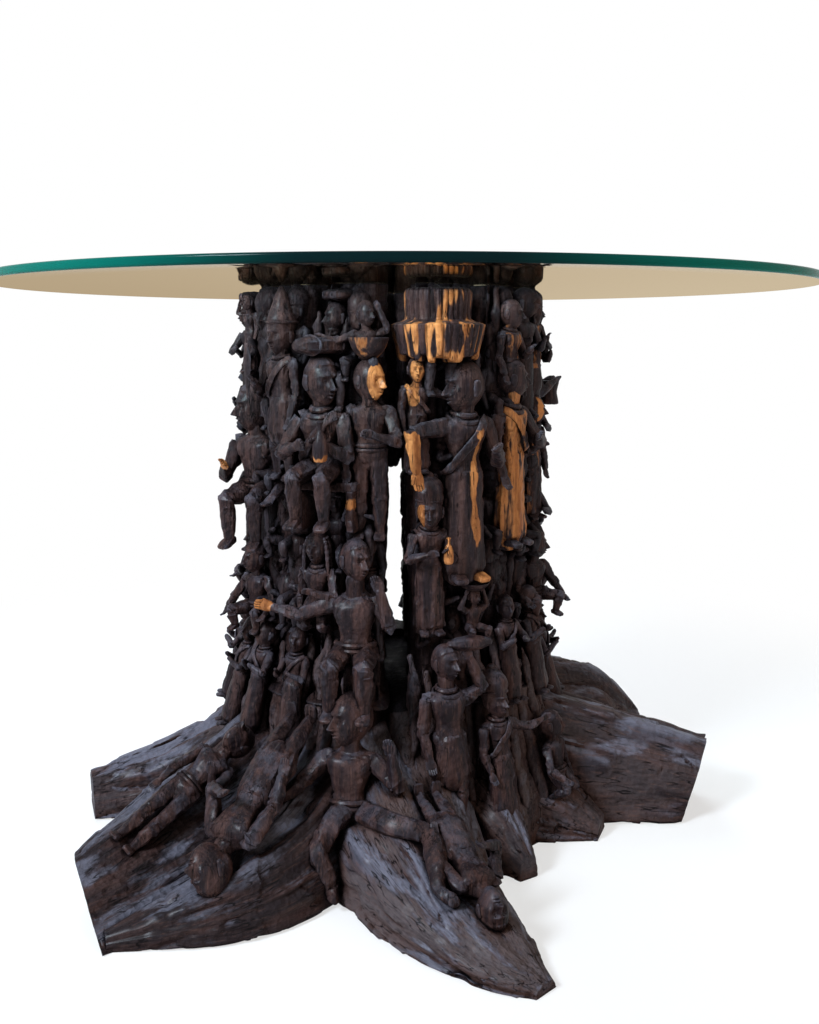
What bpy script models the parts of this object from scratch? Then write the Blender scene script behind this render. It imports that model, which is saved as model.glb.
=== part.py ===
"""Root dining table: a root stump carved into stacked people, under a round glass top.

Metres, +Z up, the table stands on z = 0 and the glass is centred on the Z axis.
Places on the trunk are given as an angle from the front (-Y), positive to the right,
a distance from the trunk's axis and a height.
"""
import math
from collections import namedtuple

import bmesh
import bpy
from mathutils import Matrix, Vector

# Sizes that drive the table
GLASS_RADIUS = 0.550
GLASS_THICK = 0.010
GLASS_UNDER = 0.742
GLASS_EDGE = 0.003
GLASS_SIDES = 72
PAD_RADIUS = 0.011
PAD_THICK = 0.0024
PAD_SIDES = 12
TRUNK_X = -0.018
POST_OUTER = 0.192
POST_INNER = 0.112
POST_CREST = 0.0019
POST_BEVEL = 4.0
POST_BELLY = 0.010
STUMP_TOP = 0.205
STUMP_SIDES = 36
STUMP_LOBES = 5
STUMP_LOBE_TURN = 40.0
STUMP_RIBS = 18
STUMP_RIB = 0.005
FIT = 0.0003

# How carved pieces are fitted to each other
CARVE_FIT = 0.0005
CLEAR_PASSES = 40
CLEAR_LIMIT = 0.003
NEAR = 0.002
MERGE = 1e-6
SMOOTH_ANGLE = 40.0

POST_TOP = GLASS_UNDER - PAD_THICK - 2.0 * FIT

# Trunk uprights: name, left and right edge in degrees at the foot, and at the head
Post = namedtuple("Post", "name left right left_head right_head")
POSTS = (
    Post("post_left", -84.0, -34.0, -84.0, -35.0),
    Post("post_front_left", -31.0, -1.0, -30.0, -0.5),
    Post("post_front_right", 6.5, 36.0, 4.5, 36.0),
    Post("post_right", 40.0, 86.0, 40.0, 87.0),
    Post("post_back_right", 91.0, 134.0, 92.0, 134.0),
    Post("post_back_mid_right", 139.0, 174.0, 138.5, 179.0),
    Post("post_back_mid_left", 186.0, 221.0, 181.5, 221.0),
    Post("post_back_left", 226.0, 271.0, 226.0, 270.0),
)

# Levels of an upright: share of its height, flare of its section, sideways waver in degrees
POST_LEVELS = ((0.0, 1.12, 0.0), (0.16, 1.05, 0.5), (0.37, 1.0, -0.6), (0.61, 1.0, 0.6),
               (0.83, 0.995, -0.4), (1.0, 1.0, 0.0))

# Pads stand on four of the uprights: name and angle, then their profile as shares of the
# pad's radius and thickness
PADS = (
    ("pad_front_left", -48.0),
    ("pad_front_right", 52.0),
    ("pad_back_right", 128.0),
    ("pad_back_left", 232.0),
)
PAD_PROFILE = ((1.0, 0.0), (1.0, 0.6), (0.8, 1.0))

# Levels of the stump: share of its height, reach beyond the uprights' face, depth of its lobes
STUMP_LEVELS = ((0.0, 0.080, 0.020), (0.29, 0.070, 0.018), (0.56, 0.052, 0.012), (0.80, 0.036, 0.007),
                (1.0, 0.024, 0.004))

# Root sections as (across, up) shares of the half width and height, sole first
ROUND_SECTION = ((-0.90, 0.0), (0.90, 0.0), (1.0, 0.22), (0.95, 0.46), (0.80, 0.58), (0.70, 0.80),
                 (0.42, 0.95), (0.16, 0.90), (-0.10, 1.0), (-0.42, 0.98), (-0.62, 0.80), (-0.86, 0.68),
                 (-1.0, 0.42), (-0.98, 0.20))
PLANK_SECTION = ((-0.92, 0.0), (0.96, 0.0), (1.0, 0.10), (0.60, 0.36), (0.10, 0.66), (-0.55, 1.0),
                 (-0.94, 0.92), (-1.0, 0.40))

# Roots: name, section, stations (x, y, half width, height), the way a sawn end faces in
# degrees from +X (None for a grown tip), and how far the top of that end overhangs
Root = namedtuple("Root", "name section stations saw overhang")
ROOTS = (
    Root("root_front", ROUND_SECTION,
         ((-0.020, -0.140, 0.110, 0.205), (0.005, -0.270, 0.100, 0.135), (0.050, -0.372, 0.076, 0.076),
          (0.105, -0.455, 0.050, 0.036), (0.150, -0.503, 0.016, 0.014)), None, 0.0),
    Root("root_left_plank", PLANK_SECTION,
         ((-0.100, -0.100, 0.100, 0.215), (-0.205, -0.200, 0.095, 0.140), (-0.295, -0.290, 0.083, 0.092),
          (-0.358, -0.366, 0.068, 0.062)), 200.0, 0.022),
    Root("root_left_toe", ROUND_SECTION,
         ((-0.070, -0.150, 0.090, 0.185), (-0.135, -0.290, 0.070, 0.112), (-0.215, -0.368, 0.052, 0.066),
          (-0.335, -0.418, 0.012, 0.018)), None, 0.0),
    Root("root_right", ROUND_SECTION,
         ((0.090, -0.020, 0.095, 0.215), (0.235, -0.045, 0.080, 0.166), (0.330, -0.055, 0.068, 0.138),
          (0.406, -0.062, 0.058, 0.110)), -16.0, 0.030),
    Root("root_right_lobe", ROUND_SECTION,
         ((0.110, -0.075, 0.080, 0.160), (0.200, -0.120, 0.060, 0.095), (0.272, -0.150, 0.022, 0.028)),
         None, 0.0),
    Root("root_back_right", ROUND_SECTION,
         ((0.080, 0.075, 0.090, 0.215), (0.210, 0.140, 0.080, 0.170), (0.315, 0.175, 0.064, 0.135),
          (0.392, 0.190, 0.026, 0.055)), None, 0.0),
    Root("root_back_left", ROUND_SECTION,
         ((-0.110, -0.010, 0.090, 0.215), (-0.235, -0.015, 0.072, 0.148), (-0.345, -0.040, 0.060, 0.092),
          (-0.450, -0.080, 0.034, 0.058)), None, 0.0),
    Root("root_back", ROUND_SECTION,
         ((-0.040, 0.110, 0.100, 0.215), (-0.085, 0.255, 0.085, 0.145), (-0.120, 0.365, 0.060, 0.092),
          (-0.140, 0.445, 0.022, 0.036)), None, 0.0),
    Root("root_stub", ROUND_SECTION,
         ((0.060, -0.130, 0.050, 0.130), (0.125, -0.220, 0.036, 0.090), (0.158, -0.272, 0.014, 0.034)),
         None, 0.0),
)

# How finely a root is lofted: steps between two stations, and where along it the turn towards a
# sawn end begins
ROOT_STEPS = 2
SAW_START = 0.62

# Arms as (sideways, outward, upward) from the shoulder to elbow and hand, in figure heights
ARMS = {
    "down": ((0.035, 0.010, -0.170), (0.015, 0.055, -0.310)),
    "folded": ((0.066, 0.085, -0.150), (-0.062, 0.162, -0.105)),
    "hold": ((0.046, 0.055, -0.160), (-0.022, 0.158, -0.095)),
    "raised": ((0.085, 0.030, 0.050), (0.015, 0.045, 0.220)),
    "reach": ((0.140, 0.040, -0.050), (0.270, 0.045, -0.020)),
    "knee": ((0.090, 0.055, -0.150), (0.078, 0.160, -0.225)),
    "bent_up": ((0.110, 0.045, -0.100), (0.085, 0.085, 0.055)),
    "stretch": ((0.110, 0.050, -0.110), (0.240, 0.070, -0.230)),
    "crook": ((0.175, 0.040, -0.010), (0.165, 0.075, -0.190)),
}

# Legs as (sideways, outward, upward) from the hip to knee, ankle and toe, and the hip's height
Legs = namedtuple("Legs", "hip joints")
LEGS = {
    "stand": Legs(0.48, ((0.010, 0.020, -0.240), (0.008, 0.004, -0.445), (0.014, 0.060, -0.468))),
    "sit": Legs(0.27, ((0.030, 0.165, -0.030), (0.030, 0.150, -0.235), (0.034, 0.205, -0.258))),
    "crouch": Legs(0.16, ((0.030, 0.095, -0.075), (0.072, 0.190, 0.010), (0.064, 0.172, -0.130))),
    "kneel": Legs(0.20, ((0.030, 0.100, -0.130), (0.040, -0.010, -0.170))),
    "astride": Legs(0.20, ((0.130, 0.060, -0.050), (0.140, 0.070, -0.160), (0.150, 0.120, -0.185))),
    "skirt": Legs(0.48, ((0.000, 0.030, -0.430), (0.000, 0.060, -0.468))),
    "bust": Legs(0.48, ()),
}

# Torso and head rings: height, half width, half depth, forward shift, front ridge factor
TORSO = (
    (0.480, 0.100, 0.075, 0.000, 1.10),
    (0.570, 0.080, 0.066, 0.000, 1.10),
    (0.660, 0.114, 0.080, 0.004, 1.12),
    (0.735, 0.132, 0.066, 0.004, 1.10),
    (0.768, 0.052, 0.050, 0.006, 1.10),
)
HEAD = (
    (0.798, 0.050, 0.050, 0.010, 1.10),
    (0.815, 0.054, 0.070, 0.020, 1.25),
    (0.868, 0.074, 0.090, 0.014, 1.36),
    (0.930, 0.079, 0.095, 0.006, 1.12),
    (1.000, 0.052, 0.062, 0.000, 1.05),
)
SKIRT = ((0.060, 0.122, 0.086, 0.006, 1.05), (0.300, 0.116, 0.084, 0.004, 1.05))
NECK_TURN = 0.5
SHOULDER = (0.126, 0.004, 0.712)
SHOULDER_CAP = (0.020, -0.004)
HIP = 0.050
ARM_RADII = (0.046, 0.040, 0.028)
LEG_RADII = (0.054, 0.042, 0.027)
FOOT_RADII = (0.038, 0.028)

# What stands on the head, as more rings
LOADS = {
    "": (),
    "hat": ((1.025, 0.066, 0.074, 0.0, 1.05), (1.160, 0.026, 0.026, 0.0, 1.0)),
    "cap": ((1.010, 0.070, 0.076, 0.0, 1.05), (1.080, 0.058, 0.064, 0.0, 1.0)),
    "wrap": ((1.025, 0.086, 0.096, 0.0, 1.05), (1.110, 0.056, 0.062, 0.0, 1.0)),
    "bundle": ((1.012, 0.140, 0.090, 0.0, 1.0), (1.080, 0.134, 0.084, 0.0, 1.0)),
}

# People on the trunk: angle, how far out from the uprights' face, foot height and standing height
# as shares of the glass's height, legs, arms (left and right as seen from outside), head turn,
# load, how far the body leans in, and how far it turns from facing straight out
Person = namedtuple("Person", "name angle out foot size legs left right turn load lean spin",
                    defaults=(0,))
PEOPLE = (
    Person("hat_man", -43, 0.008, 0.6631, 0.2830, "stand", "hold", "down", 10, "hat", 0),
    Person("horn_boy", -70, 0.008, 0.8464, 0.1429, "skirt", "raised", "down", -20, "", 0, 30),
    Person("left_seated", -65, 0.006, 0.5323, 0.3774, "sit", "hold", "knee", -30, "", 0, 38),
    Person("left_croucher", -62, 0.015, 0.3774, 0.2358, "crouch", "knee", "knee", -25, "", 0, 30),
    Person("bundle_woman", -24, 0.011, 0.5930, 0.3639, "sit", "folded", "hold", 25, "bundle", 0),
    Person("top_bearer", -8, 0.008, 0.8895, 0.1887, "bust", "reach", "raised", 45, "", 0),
    Person("standing_profile", -7, 0.008, 0.5714, 0.3046, "stand", "down", "folded", 55, "", 0),
    Person("long_haired_woman", -26, 0.015, 0.4043, 0.2493, "kneel", "down", "folded", 5, "", 0),
    Person("round_headed_man", -11, 0.040, 0.2763, 0.3801, "sit", "reach", "bent_up", 45, "", 4),
    Person("orange_bearer", 10, 0.006, 0.6846, 0.1968, "skirt", "down", "reach", -5, "", 0),
    Person("bald_woman", 27, 0.011, 0.4960, 0.3774, "skirt", "crook", "hold", -55, "", 0),
    Person("lower_woman", 14, 0.015, 0.4070, 0.2453, "skirt", "folded", "hold", -15, "wrap", 0),
    Person("crouching_bearer", 31, 0.015, 0.3841, 0.1456, "crouch", "raised", "raised", 10, "", 0),
    Person("tall_draped_man", 51, 0.008, 0.5418, 0.3302, "skirt", "down", "folded", 50, "", 0),
    Person("cloaked_elder", 50, 0.008, 0.8827, 0.2156, "bust", "down", "hold", 20, "", 0),
    Person("capped_man", 75, 0.008, 0.8167, 0.1577, "stand", "down", "hold", 55, "cap", 0, -35),
    Person("right_elder", 75, 0.008, 0.5728, 0.2318, "skirt", "hold", "down", 50, "", 0, -30),
    Person("right_croucher", 72, 0.015, 0.3908, 0.2426, "crouch", "knee", "knee", 55, "", 0, -35),
    Person("central_man", -10, 0.102, 0.0539, 0.3841, "astride", "stretch", "bent_up", -40, "", 10),
    Person("raised_arm_woman", 17, 0.076, 0.0836, 0.3167, "stand", "down", "raised", -10, "", 8),
    Person("wrapped_woman", 34, 0.078, 0.0674, 0.2493, "skirt", "down", "reach", 0, "wrap", 10),
    Person("kneeling_boy", 56, 0.088, 0.0809, 0.2224, "kneel", "knee", "down", 30, "", 12),
    Person("drummer", 102, 0.008, 0.6469, 0.2898, "stand", "hold", "hold", 0, "hat", 0),
    Person("mother", 125, 0.008, 0.5795, 0.2898, "skirt", "folded", "hold", 15, "bundle", 0),
    Person("back_croucher_right", 112, 0.015, 0.3908, 0.2493, "crouch", "knee", "knee", -20, "", 0),
    Person("pounder", 157, 0.008, 0.6739, 0.2857, "stand", "raised", "hold", 10, "wrap", 0),
    Person("back_seated", 155, 0.014, 0.3774, 0.3369, "sit", "knee", "knee", 0, "", 0),
    Person("flute_player", 203, 0.008, 0.6334, 0.3032, "skirt", "hold", "hold", -10, "hat", 0),
    Person("back_kneeler", 203, 0.015, 0.3841, 0.2898, "kneel", "folded", "folded", 20, "wrap", 0),
    Person("water_carrier", 248, 0.008, 0.6334, 0.2965, "skirt", "raised", "down", 0, "bundle", 0),
    Person("back_croucher_left", 248, 0.015, 0.3908, 0.2695, "crouch", "knee", "knee", 0, "", 0),
)

# People cut from the pale sapwood
PALE_PEOPLE = ("orange_bearer",)

# Lesser people carved in one with the stump: angle, how far out from the uprights' face, foot
# height and standing height as shares of the glass's height, how far they lean in, head turn
STUMP_PEOPLE = (
    (-35, 0.046, 0.2089, 0.2022, 13, 20), (-53, 0.050, 0.2022, 0.2022, 15, -15),
    (-69, 0.054, 0.1819, 0.2156, 16, 30), (-86, 0.050, 0.2022, 0.2089, 15, -20),
    (46, 0.036, 0.2628, 0.1954, 8, -25), (63, 0.038, 0.2561, 0.2022, 9, 15),
    (79, 0.050, 0.2022, 0.2089, 15, -30), (96, 0.050, 0.1954, 0.2089, 15, 10),
    (114, 0.052, 0.1752, 0.2156, 16, 25), (133, 0.054, 0.1685, 0.2156, 16, -10),
    (152, 0.052, 0.1819, 0.2089, 15, 20), (171, 0.050, 0.1887, 0.2022, 15, -25),
    (190, 0.036, 0.2291, 0.2022, 9, 15), (211, 0.054, 0.1685, 0.2156, 16, -20),
    (232, 0.052, 0.1819, 0.2089, 15, 30), (253, 0.054, 0.1752, 0.2156, 16, -15),
)

# People lying on the roots: feet, crown, the way the face looks, legs, arms, head turn
Sleeper = namedtuple("Sleeper", "name feet crown face legs left right turn")
SLEEPERS = (
    Sleeper("plank_sleeper", (-0.124, -0.222, 0.206), (-0.232, -0.404, 0.056), (-0.30, -0.42, 0.86),
            "stand", "down", "folded", 20),
    Sleeper("plank_rider", (-0.345, -0.315, 0.066), (-0.200, -0.188, 0.166), (0.10, -0.70, 0.70),
            "stand", "down", "hold", -20),
    Sleeper("front_sleeper", (0.025, -0.275, 0.122), (0.108, -0.452, 0.044), (0.25, -0.35, 0.90),
            "stand", "folded", "down", 10),
)

# Basket and stool, with heights as shares of the glass's height
BASKET_ANGLE = 19.0
BASKET_SINK = 0.006
BASKET_RINGS = ((0.8854, 0.052), (0.9299, 0.060), (0.9394, 0.044), (0.9892, 0.042))
BASKET_SIDES = 14
STOOL_ANGLE = -22.0
STOOL_TOP = 0.6739
STOOL_BOARD = 0.014
STOOL_LEG_HEIGHT = 0.050
STOOL_HALF_WIDTH = 0.042
STOOL_LEG = 0.012
STOOL_SINK = 0.012
STOOL_OUT = 0.032

# Materials: colour, roughness, clearness
LOOKS = {
    "blackwood": ((0.035, 0.022, 0.018), 0.55, 0.0),
    "sapwood": ((0.420, 0.190, 0.060), 0.50, 0.0),
    "glass": ((0.620, 0.860, 0.800), 0.03, 1.0),
    "clear_pad": ((0.900, 0.900, 0.900), 0.30, 0.6),
}


def spot(angle, radius, height):
    """Point at an angle from the front, a distance from the trunk's axis and a height."""
    turn = math.radians(angle)
    return Vector((TRUNK_X + radius * math.sin(turn), -radius * math.cos(turn), height))


def material(name):
    """Principled material in one plain colour."""
    colour, roughness, clear = LOOKS[name]
    made = bpy.data.materials.new(name)
    made.use_nodes = True
    shader = made.node_tree.nodes["Principled BSDF"]
    shader.inputs["Base Color"].default_value = (*colour, 1.0)
    shader.inputs["Roughness"].default_value = roughness
    shader.inputs["Transmission Weight"].default_value = clear
    made.diffuse_color = (*colour, 1.0)
    return made


def keep_body(bm):
    """Clean a carved mesh and keep its biggest body, faces turned outward."""
    bmesh.ops.remove_doubles(bm, verts=bm.verts, dist=MERGE)
    bmesh.ops.dissolve_degenerate(bm, edges=bm.edges, dist=MERGE)
    bmesh.ops.triangulate(bm, faces=bm.faces)
    bm.verts.index_update()
    seen = set()
    bodies = []
    for start in bm.verts:
        if start in seen:
            continue
        body = [start]
        seen.add(start)
        for vert in body:
            for edge in vert.link_edges:
                other = edge.other_vert(vert)
                if other not in seen:
                    seen.add(other)
                    body.append(other)
        bodies.append(body)
    if len(bodies) > 1:
        def bulk(body):
            inside = set(body)
            total = 0.0
            for face in bm.faces:
                if face.verts[0] in inside:
                    a, b, c = (vert.co for vert in face.verts)
                    total += a.dot(b.cross(c)) / 6.0
            return abs(total)
        bodies.sort(key=bulk)
        spare = [vert for body in bodies[:-1] for vert in body]
        bmesh.ops.delete(bm, geom=spare, context="VERTS")
    bmesh.ops.recalc_face_normals(bm, faces=bm.faces)


def finish(name, bm, look, smooth=False):
    """Turn a bmesh into a named object with its material."""
    bm.normal_update()
    bmesh.ops.recalc_face_normals(bm, faces=bm.faces)
    bmesh.ops.triangulate(bm, faces=bm.faces)
    mesh = bpy.data.meshes.new(name)
    bm.to_mesh(mesh)
    bm.free()
    mesh.materials.append(look)
    if smooth:
        mesh.shade_smooth()
        mesh.set_sharp_from_angle(angle=math.radians(SMOOTH_ANGLE))
    made = bpy.data.objects.new(name, mesh)
    bpy.context.scene.collection.objects.link(made)
    return made


def loft(rings):
    """Closed body through rings of points, capped at both ends."""
    bm = bmesh.new()
    rows = [[bm.verts.new(point) for point in ring] for ring in rings]
    count = len(rows[0])
    for low, high in zip(rows, rows[1:]):
        for k in range(count):
            after = (k + 1) % count
            bm.faces.new((low[k], low[after], high[after], high[k]))
    bm.faces.new(list(reversed(rows[0])))
    bm.faces.new(rows[-1])
    return bm


def clear_move(vert):
    """Move that brings every face round a point out by at least the carving fit."""
    normals = [face.normal for face in vert.link_faces]
    move = Vector((0.0, 0.0, 0.0))
    for _ in range(CLEAR_PASSES):
        for normal in normals:
            short = CARVE_FIT - normal.dot(move)
            if short > 0.0:
                move += normal * short
    if move.length > CLEAR_LIMIT:
        move *= CLEAR_LIMIT / move.length
    return move


def grown(source):
    """Copy of an object, every face moved out by the carving fit."""
    bm = bmesh.new()
    bm.from_mesh(source.data)
    bm.normal_update()
    moves = [clear_move(vert) for vert in bm.verts]
    for vert, move in zip(bm.verts, moves):
        vert.co += move
    mesh = bpy.data.meshes.new("cutter")
    bm.to_mesh(mesh)
    bm.free()
    cutter = bpy.data.objects.new("cutter", mesh)
    cutter.hide_render = True
    cutter.display_type = "WIRE"
    bpy.context.scene.collection.objects.link(cutter)
    return cutter


def box_of(thing):
    """Lowest and highest corner of an object's mesh."""
    points = [vert.co for vert in thing.data.vertices]
    low = [min(point[k] for point in points) for k in range(3)]
    high = [max(point[k] for point in points) for k in range(3)]
    return low, high


def near(one, two):
    """True where two objects' boxes come within a few millimetres of each other."""
    low_a, high_a = box_of(one)
    low_b, high_b = box_of(two)
    return all(low_a[k] < high_b[k] + NEAR and low_b[k] < high_a[k] + NEAR for k in range(3))


def combine(made, tool, operation):
    """Cut a tool out of a piece or join it to the piece, and take the tool away."""
    step = made.modifiers.new("step", "BOOLEAN")
    step.operation = operation
    step.solver = "EXACT"
    step.use_self = True
    step.object = tool
    graph = bpy.context.evaluated_depsgraph_get()
    bm = bmesh.new()
    bm.from_object(made, graph)
    made.modifiers.clear()
    keep_body(bm)
    bm.to_mesh(made.data)
    bm.free()
    spent = tool.data
    bpy.data.objects.remove(tool)
    bpy.data.meshes.remove(spent)


def carve(made, others):
    """Cut a new piece back so that it fits against the pieces already there."""
    for other in others:
        if near(made, other):
            combine(made, grown(other), "DIFFERENCE")


def glass_top(look):
    """Round glass disc with a softened edge, turned from its half profile."""
    top = GLASS_UNDER + GLASS_THICK
    inner = GLASS_RADIUS - GLASS_EDGE
    profile = ((inner, GLASS_UNDER), (GLASS_RADIUS, GLASS_UNDER + GLASS_EDGE),
               (GLASS_RADIUS, top - GLASS_EDGE), (inner, top))
    rings = []
    for radius, height in profile:
        ring = []
        for k in range(GLASS_SIDES):
            turn = 2.0 * math.pi * k / GLASS_SIDES
            ring.append((radius * math.cos(turn), radius * math.sin(turn), height))
        rings.append(ring)
    return finish("glass_top", loft(rings), look, smooth=True)


def bumper_pad(name, angle, look):
    """Small clear disc between the middle of an upright and the glass."""
    middle = spot(angle, 0.5 * (POST_INNER + POST_OUTER), POST_TOP + FIT)
    rings = []
    for reach, up in PAD_PROFILE:
        ring = []
        for k in range(PAD_SIDES):
            turn = 2.0 * math.pi * k / PAD_SIDES
            away = Vector((math.cos(turn), math.sin(turn), 0.0)) * PAD_RADIUS * reach
            ring.append(middle + away + Vector((0.0, 0.0, PAD_THICK * up)))
        rings.append(ring)
    return finish(name, loft(rings), look, smooth=True)


def stump_heart(look):
    """Flared heart of the stump, lobed towards its roots and ribbed all round."""
    rings = []
    for share, reach, lobe in STUMP_LEVELS:
        ring = []
        for k in range(STUMP_SIDES):
            angle = 360.0 * k / STUMP_SIDES
            swell = lobe * math.cos(math.radians(STUMP_LOBES * angle + STUMP_LOBE_TURN))
            swell += STUMP_RIB * math.cos(math.radians(STUMP_RIBS * angle))
            ring.append(spot(angle, POST_OUTER + reach + swell, share * (STUMP_TOP - FIT)))
        rings.append(ring)
    return finish("stump_heart", loft(rings), look)


def post(entry, look):
    """Upright of the hollow trunk: two outer facets, a rounded inside, a flared foot."""
    rings = []
    for share, flare, waver in POST_LEVELS:
        height = STUMP_TOP + share * (POST_TOP - STUMP_TOP)
        left = entry.left + share * (entry.left_head - entry.left) + waver
        right = entry.right + share * (entry.right_head - entry.right) + waver
        middle = 0.5 * (left + right)
        outer = POST_OUTER * flare
        inner = POST_INNER / flare
        corners = ((left, outer), (middle, outer + POST_CREST), (right, outer),
                   (right - POST_BEVEL, inner), (middle, inner - POST_BELLY), (left + POST_BEVEL, inner))
        rings.append([spot(angle, radius, height) for angle, radius in corners])
    return finish(entry.name, loft(rings), look)


def smooth(knots, steps):
    """Points on a curve through knots: each span is the cubic that leaves a knot along the line
    between its two neighbours."""
    last = len(knots) - 1
    made = []
    for k in range(last * steps + 1):
        span = min(k // steps, last - 1)
        t = k / steps - span
        beside = [knots[min(max(span + step, 0), last)] for step in (-1, 0, 1, 2)]
        point = []
        for a, b, c, d in zip(*beside):
            bend = 2.0 * a - 5.0 * b + 4.0 * c - d + t * (3.0 * b - a - 3.0 * c + d)
            point.append(b + 0.5 * t * (c - a + t * bend))
        made.append(point)
    return made


def root_limb(root, look):
    """Tapering root with a flat sole, lofted through a smooth line of its stations."""
    stations = smooth(root.stations, ROOT_STEPS)
    centres = [Vector(station[:2]) for station in stations]
    last = len(centres) - 1
    rings = []
    for k, (_, _, half, height) in enumerate(stations):
        along = (centres[min(k + 1, last)] - centres[max(k - 1, 0)]).normalized()
        overhang = 0.0
        if root.saw is not None:
            late = min(max((k / last - SAW_START) / (1.0 - SAW_START), 0.0), 1.0)
            late = late * late * (3.0 - 2.0 * late)
            saw = Vector((math.cos(math.radians(root.saw)), math.sin(math.radians(root.saw))))
            along = (along * (1.0 - late) + saw * late).normalized()
            overhang = root.overhang * late
        side = Vector((-along.y, along.x))
        ring = []
        for across, up in root.section:
            flat = centres[k] + side * across * half + along * overhang * up
            ring.append((flat.x, flat.y, height * up))
        rings.append(ring)
    return finish(root.name, loft(rings), look)


def limb(bm, face, joints, radii):
    """Grow a four-sided limb out of a face, through joints, without twisting it."""
    centre = face.calc_center_median()
    heading = face.normal.copy()
    offsets = [loop.vert.co - centre for loop in face.loops]
    for k, joint in enumerate(joints):
        before = centre if k == 0 else joints[k - 1]
        along = (joint - before).normalized()
        if k < len(joints) - 1:
            along = (along + (joints[k + 1] - joint).normalized()).normalized()
        bend = heading.rotation_difference(along)
        heading = along
        offsets = [(bend @ offset).normalized() * radii[k] for offset in offsets]
        face = bmesh.ops.extrude_discrete_faces(bm, faces=[face])["faces"][0]
        for loop, offset in zip(face.loops, offsets):
            loop.vert.co = joint + offset


def body_ring(row, size, lift, turn):
    """Six points round the body: a ridge in front, a flat back."""
    height, half, depth, shift, ridge = row
    points = ((-half, -depth), (0.0, -depth * ridge), (half, -depth), (half, depth), (0.0, depth),
              (-half, depth))
    spin = Matrix.Rotation(math.radians(turn), 3, "Z")
    ring = []
    for x, y in points:
        point = spin @ Vector((x, y - shift, 0.0))
        ring.append((point + Vector((0.0, 0.0, height + lift))) * size)
    return ring


def head_rows(turn):
    """Rings of the head, each with its turn: the neck turns less than the face."""
    return [(HEAD[0], NECK_TURN * turn)] + [(row, turn) for row in HEAD[1:]]


def lesser_person(angle, out, foot, size, lean, turn, look):
    """Lesser person in a long dress, body and head only."""
    rows = [(row, 0.0) for row in SKIRT + TORSO] + head_rows(turn)
    bm = loft([body_ring(row, GLASS_UNDER * size, 0.0, spin) for row, spin in rows])
    bm.transform(against_trunk(angle, out, foot, lean, 0.0))
    return finish("lesser_person", bm, look)


def person(name, frame, size, legs, left, right, turn, load, look):
    """Carved person in a frame of x to the right, y into the wood and z up the body."""
    pose = LEGS[legs]
    lift = pose.hip - TORSO[0][0]
    rows = [(row, 0.0) for row in TORSO]
    if legs == "skirt":
        rows = [(row, 0.0) for row in SKIRT] + rows
    if legs == "bust":
        lift = -TORSO[1][0]
        rows = rows[1:]
    rows += head_rows(turn) + [(row, turn) for row in LOADS[load]]
    bm = bmesh.new()
    rings = [[bm.verts.new(point) for point in body_ring(row, size, lift, spin)] for row, spin in rows]
    for low, high in zip(rings, rings[1:]):
        for k in range(len(low)):
            after = (k + 1) % len(low)
            bm.faces.new((low[k], low[after], high[after], high[k]))
    bm.faces.new(rings[-1])
    foot = rings[0]
    hips = (bm.faces.new((foot[5], foot[4], foot[1], foot[0])),
            bm.faces.new((foot[4], foot[3], foot[2], foot[1])))
    bm.normal_update()
    for side, hip in zip((-1.0, 1.0), hips):
        start = Vector((side * HIP, 0.0, pose.hip))
        joints = []
        for across, out, up in pose.joints:
            joints.append((start + Vector((side * across, -out, up))) * size)
        radii = FOOT_RADII if legs == "skirt" else LEG_RADII
        limb(bm, hip, joints, [radius * size for radius in radii])
    chest = [row for row, spin in rows].index(TORSO[2])
    for side, gesture in ((-1.0, left), (1.0, right)):
        edge = {rings[chest][5 if side < 0 else 2], rings[chest][0 if side < 0 else 3],
                rings[chest + 1][5 if side < 0 else 2], rings[chest + 1][0 if side < 0 else 3]}
        flank = next(face for face in bm.faces if set(face.verts) == edge)
        start = Vector((side * SHOULDER[0], -SHOULDER[1], SHOULDER[2] + lift))
        joints = [start + Vector((side * SHOULDER_CAP[0], 0.0, SHOULDER_CAP[1]))]
        for across, out, up in ARMS[gesture]:
            joints.append(start + Vector((side * across, -out, up)))
        limb(bm, flank, [joint * size for joint in joints],
             [radius * size for radius in ARM_RADII])
    bm.transform(frame)
    return finish(name, bm, look)


def against_trunk(angle, out, foot, lean, spin):
    """Frame of a person whose back is to the trunk."""
    turn = Matrix.Rotation(math.radians(angle + spin), 4, "Z")
    tip = Matrix.Rotation(math.radians(-lean), 4, "X")
    return Matrix.Translation(spot(angle, POST_OUTER + out, GLASS_UNDER * foot)) @ turn @ tip


def lying(entry):
    """Frame and height of a person who lies along a root."""
    feet = Vector(entry.feet)
    body = Vector(entry.crown) - feet
    up = body.normalized()
    back = -Vector(entry.face)
    back = (back - up * back.dot(up)).normalized()
    right = back.cross(up)
    turn = Matrix((right, back, up)).transposed().to_4x4()
    return Matrix.Translation(feet) @ turn, body.length


def basket(look):
    """Flared basket with its narrow neck, in relief on the trunk."""
    middle = spot(BASKET_ANGLE, POST_OUTER - BASKET_SINK, 0.0)
    rings = []
    for share, radius in BASKET_RINGS:
        ring = []
        for k in range(BASKET_SIDES):
            turn = 2.0 * math.pi * k / BASKET_SIDES
            away = Vector((math.cos(turn), math.sin(turn), 0.0)) * radius
            ring.append(middle + away + Vector((0.0, 0.0, GLASS_UNDER * share)))
        rings.append(ring)
    return finish("striped_basket", loft(rings), look, smooth=True)


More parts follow.
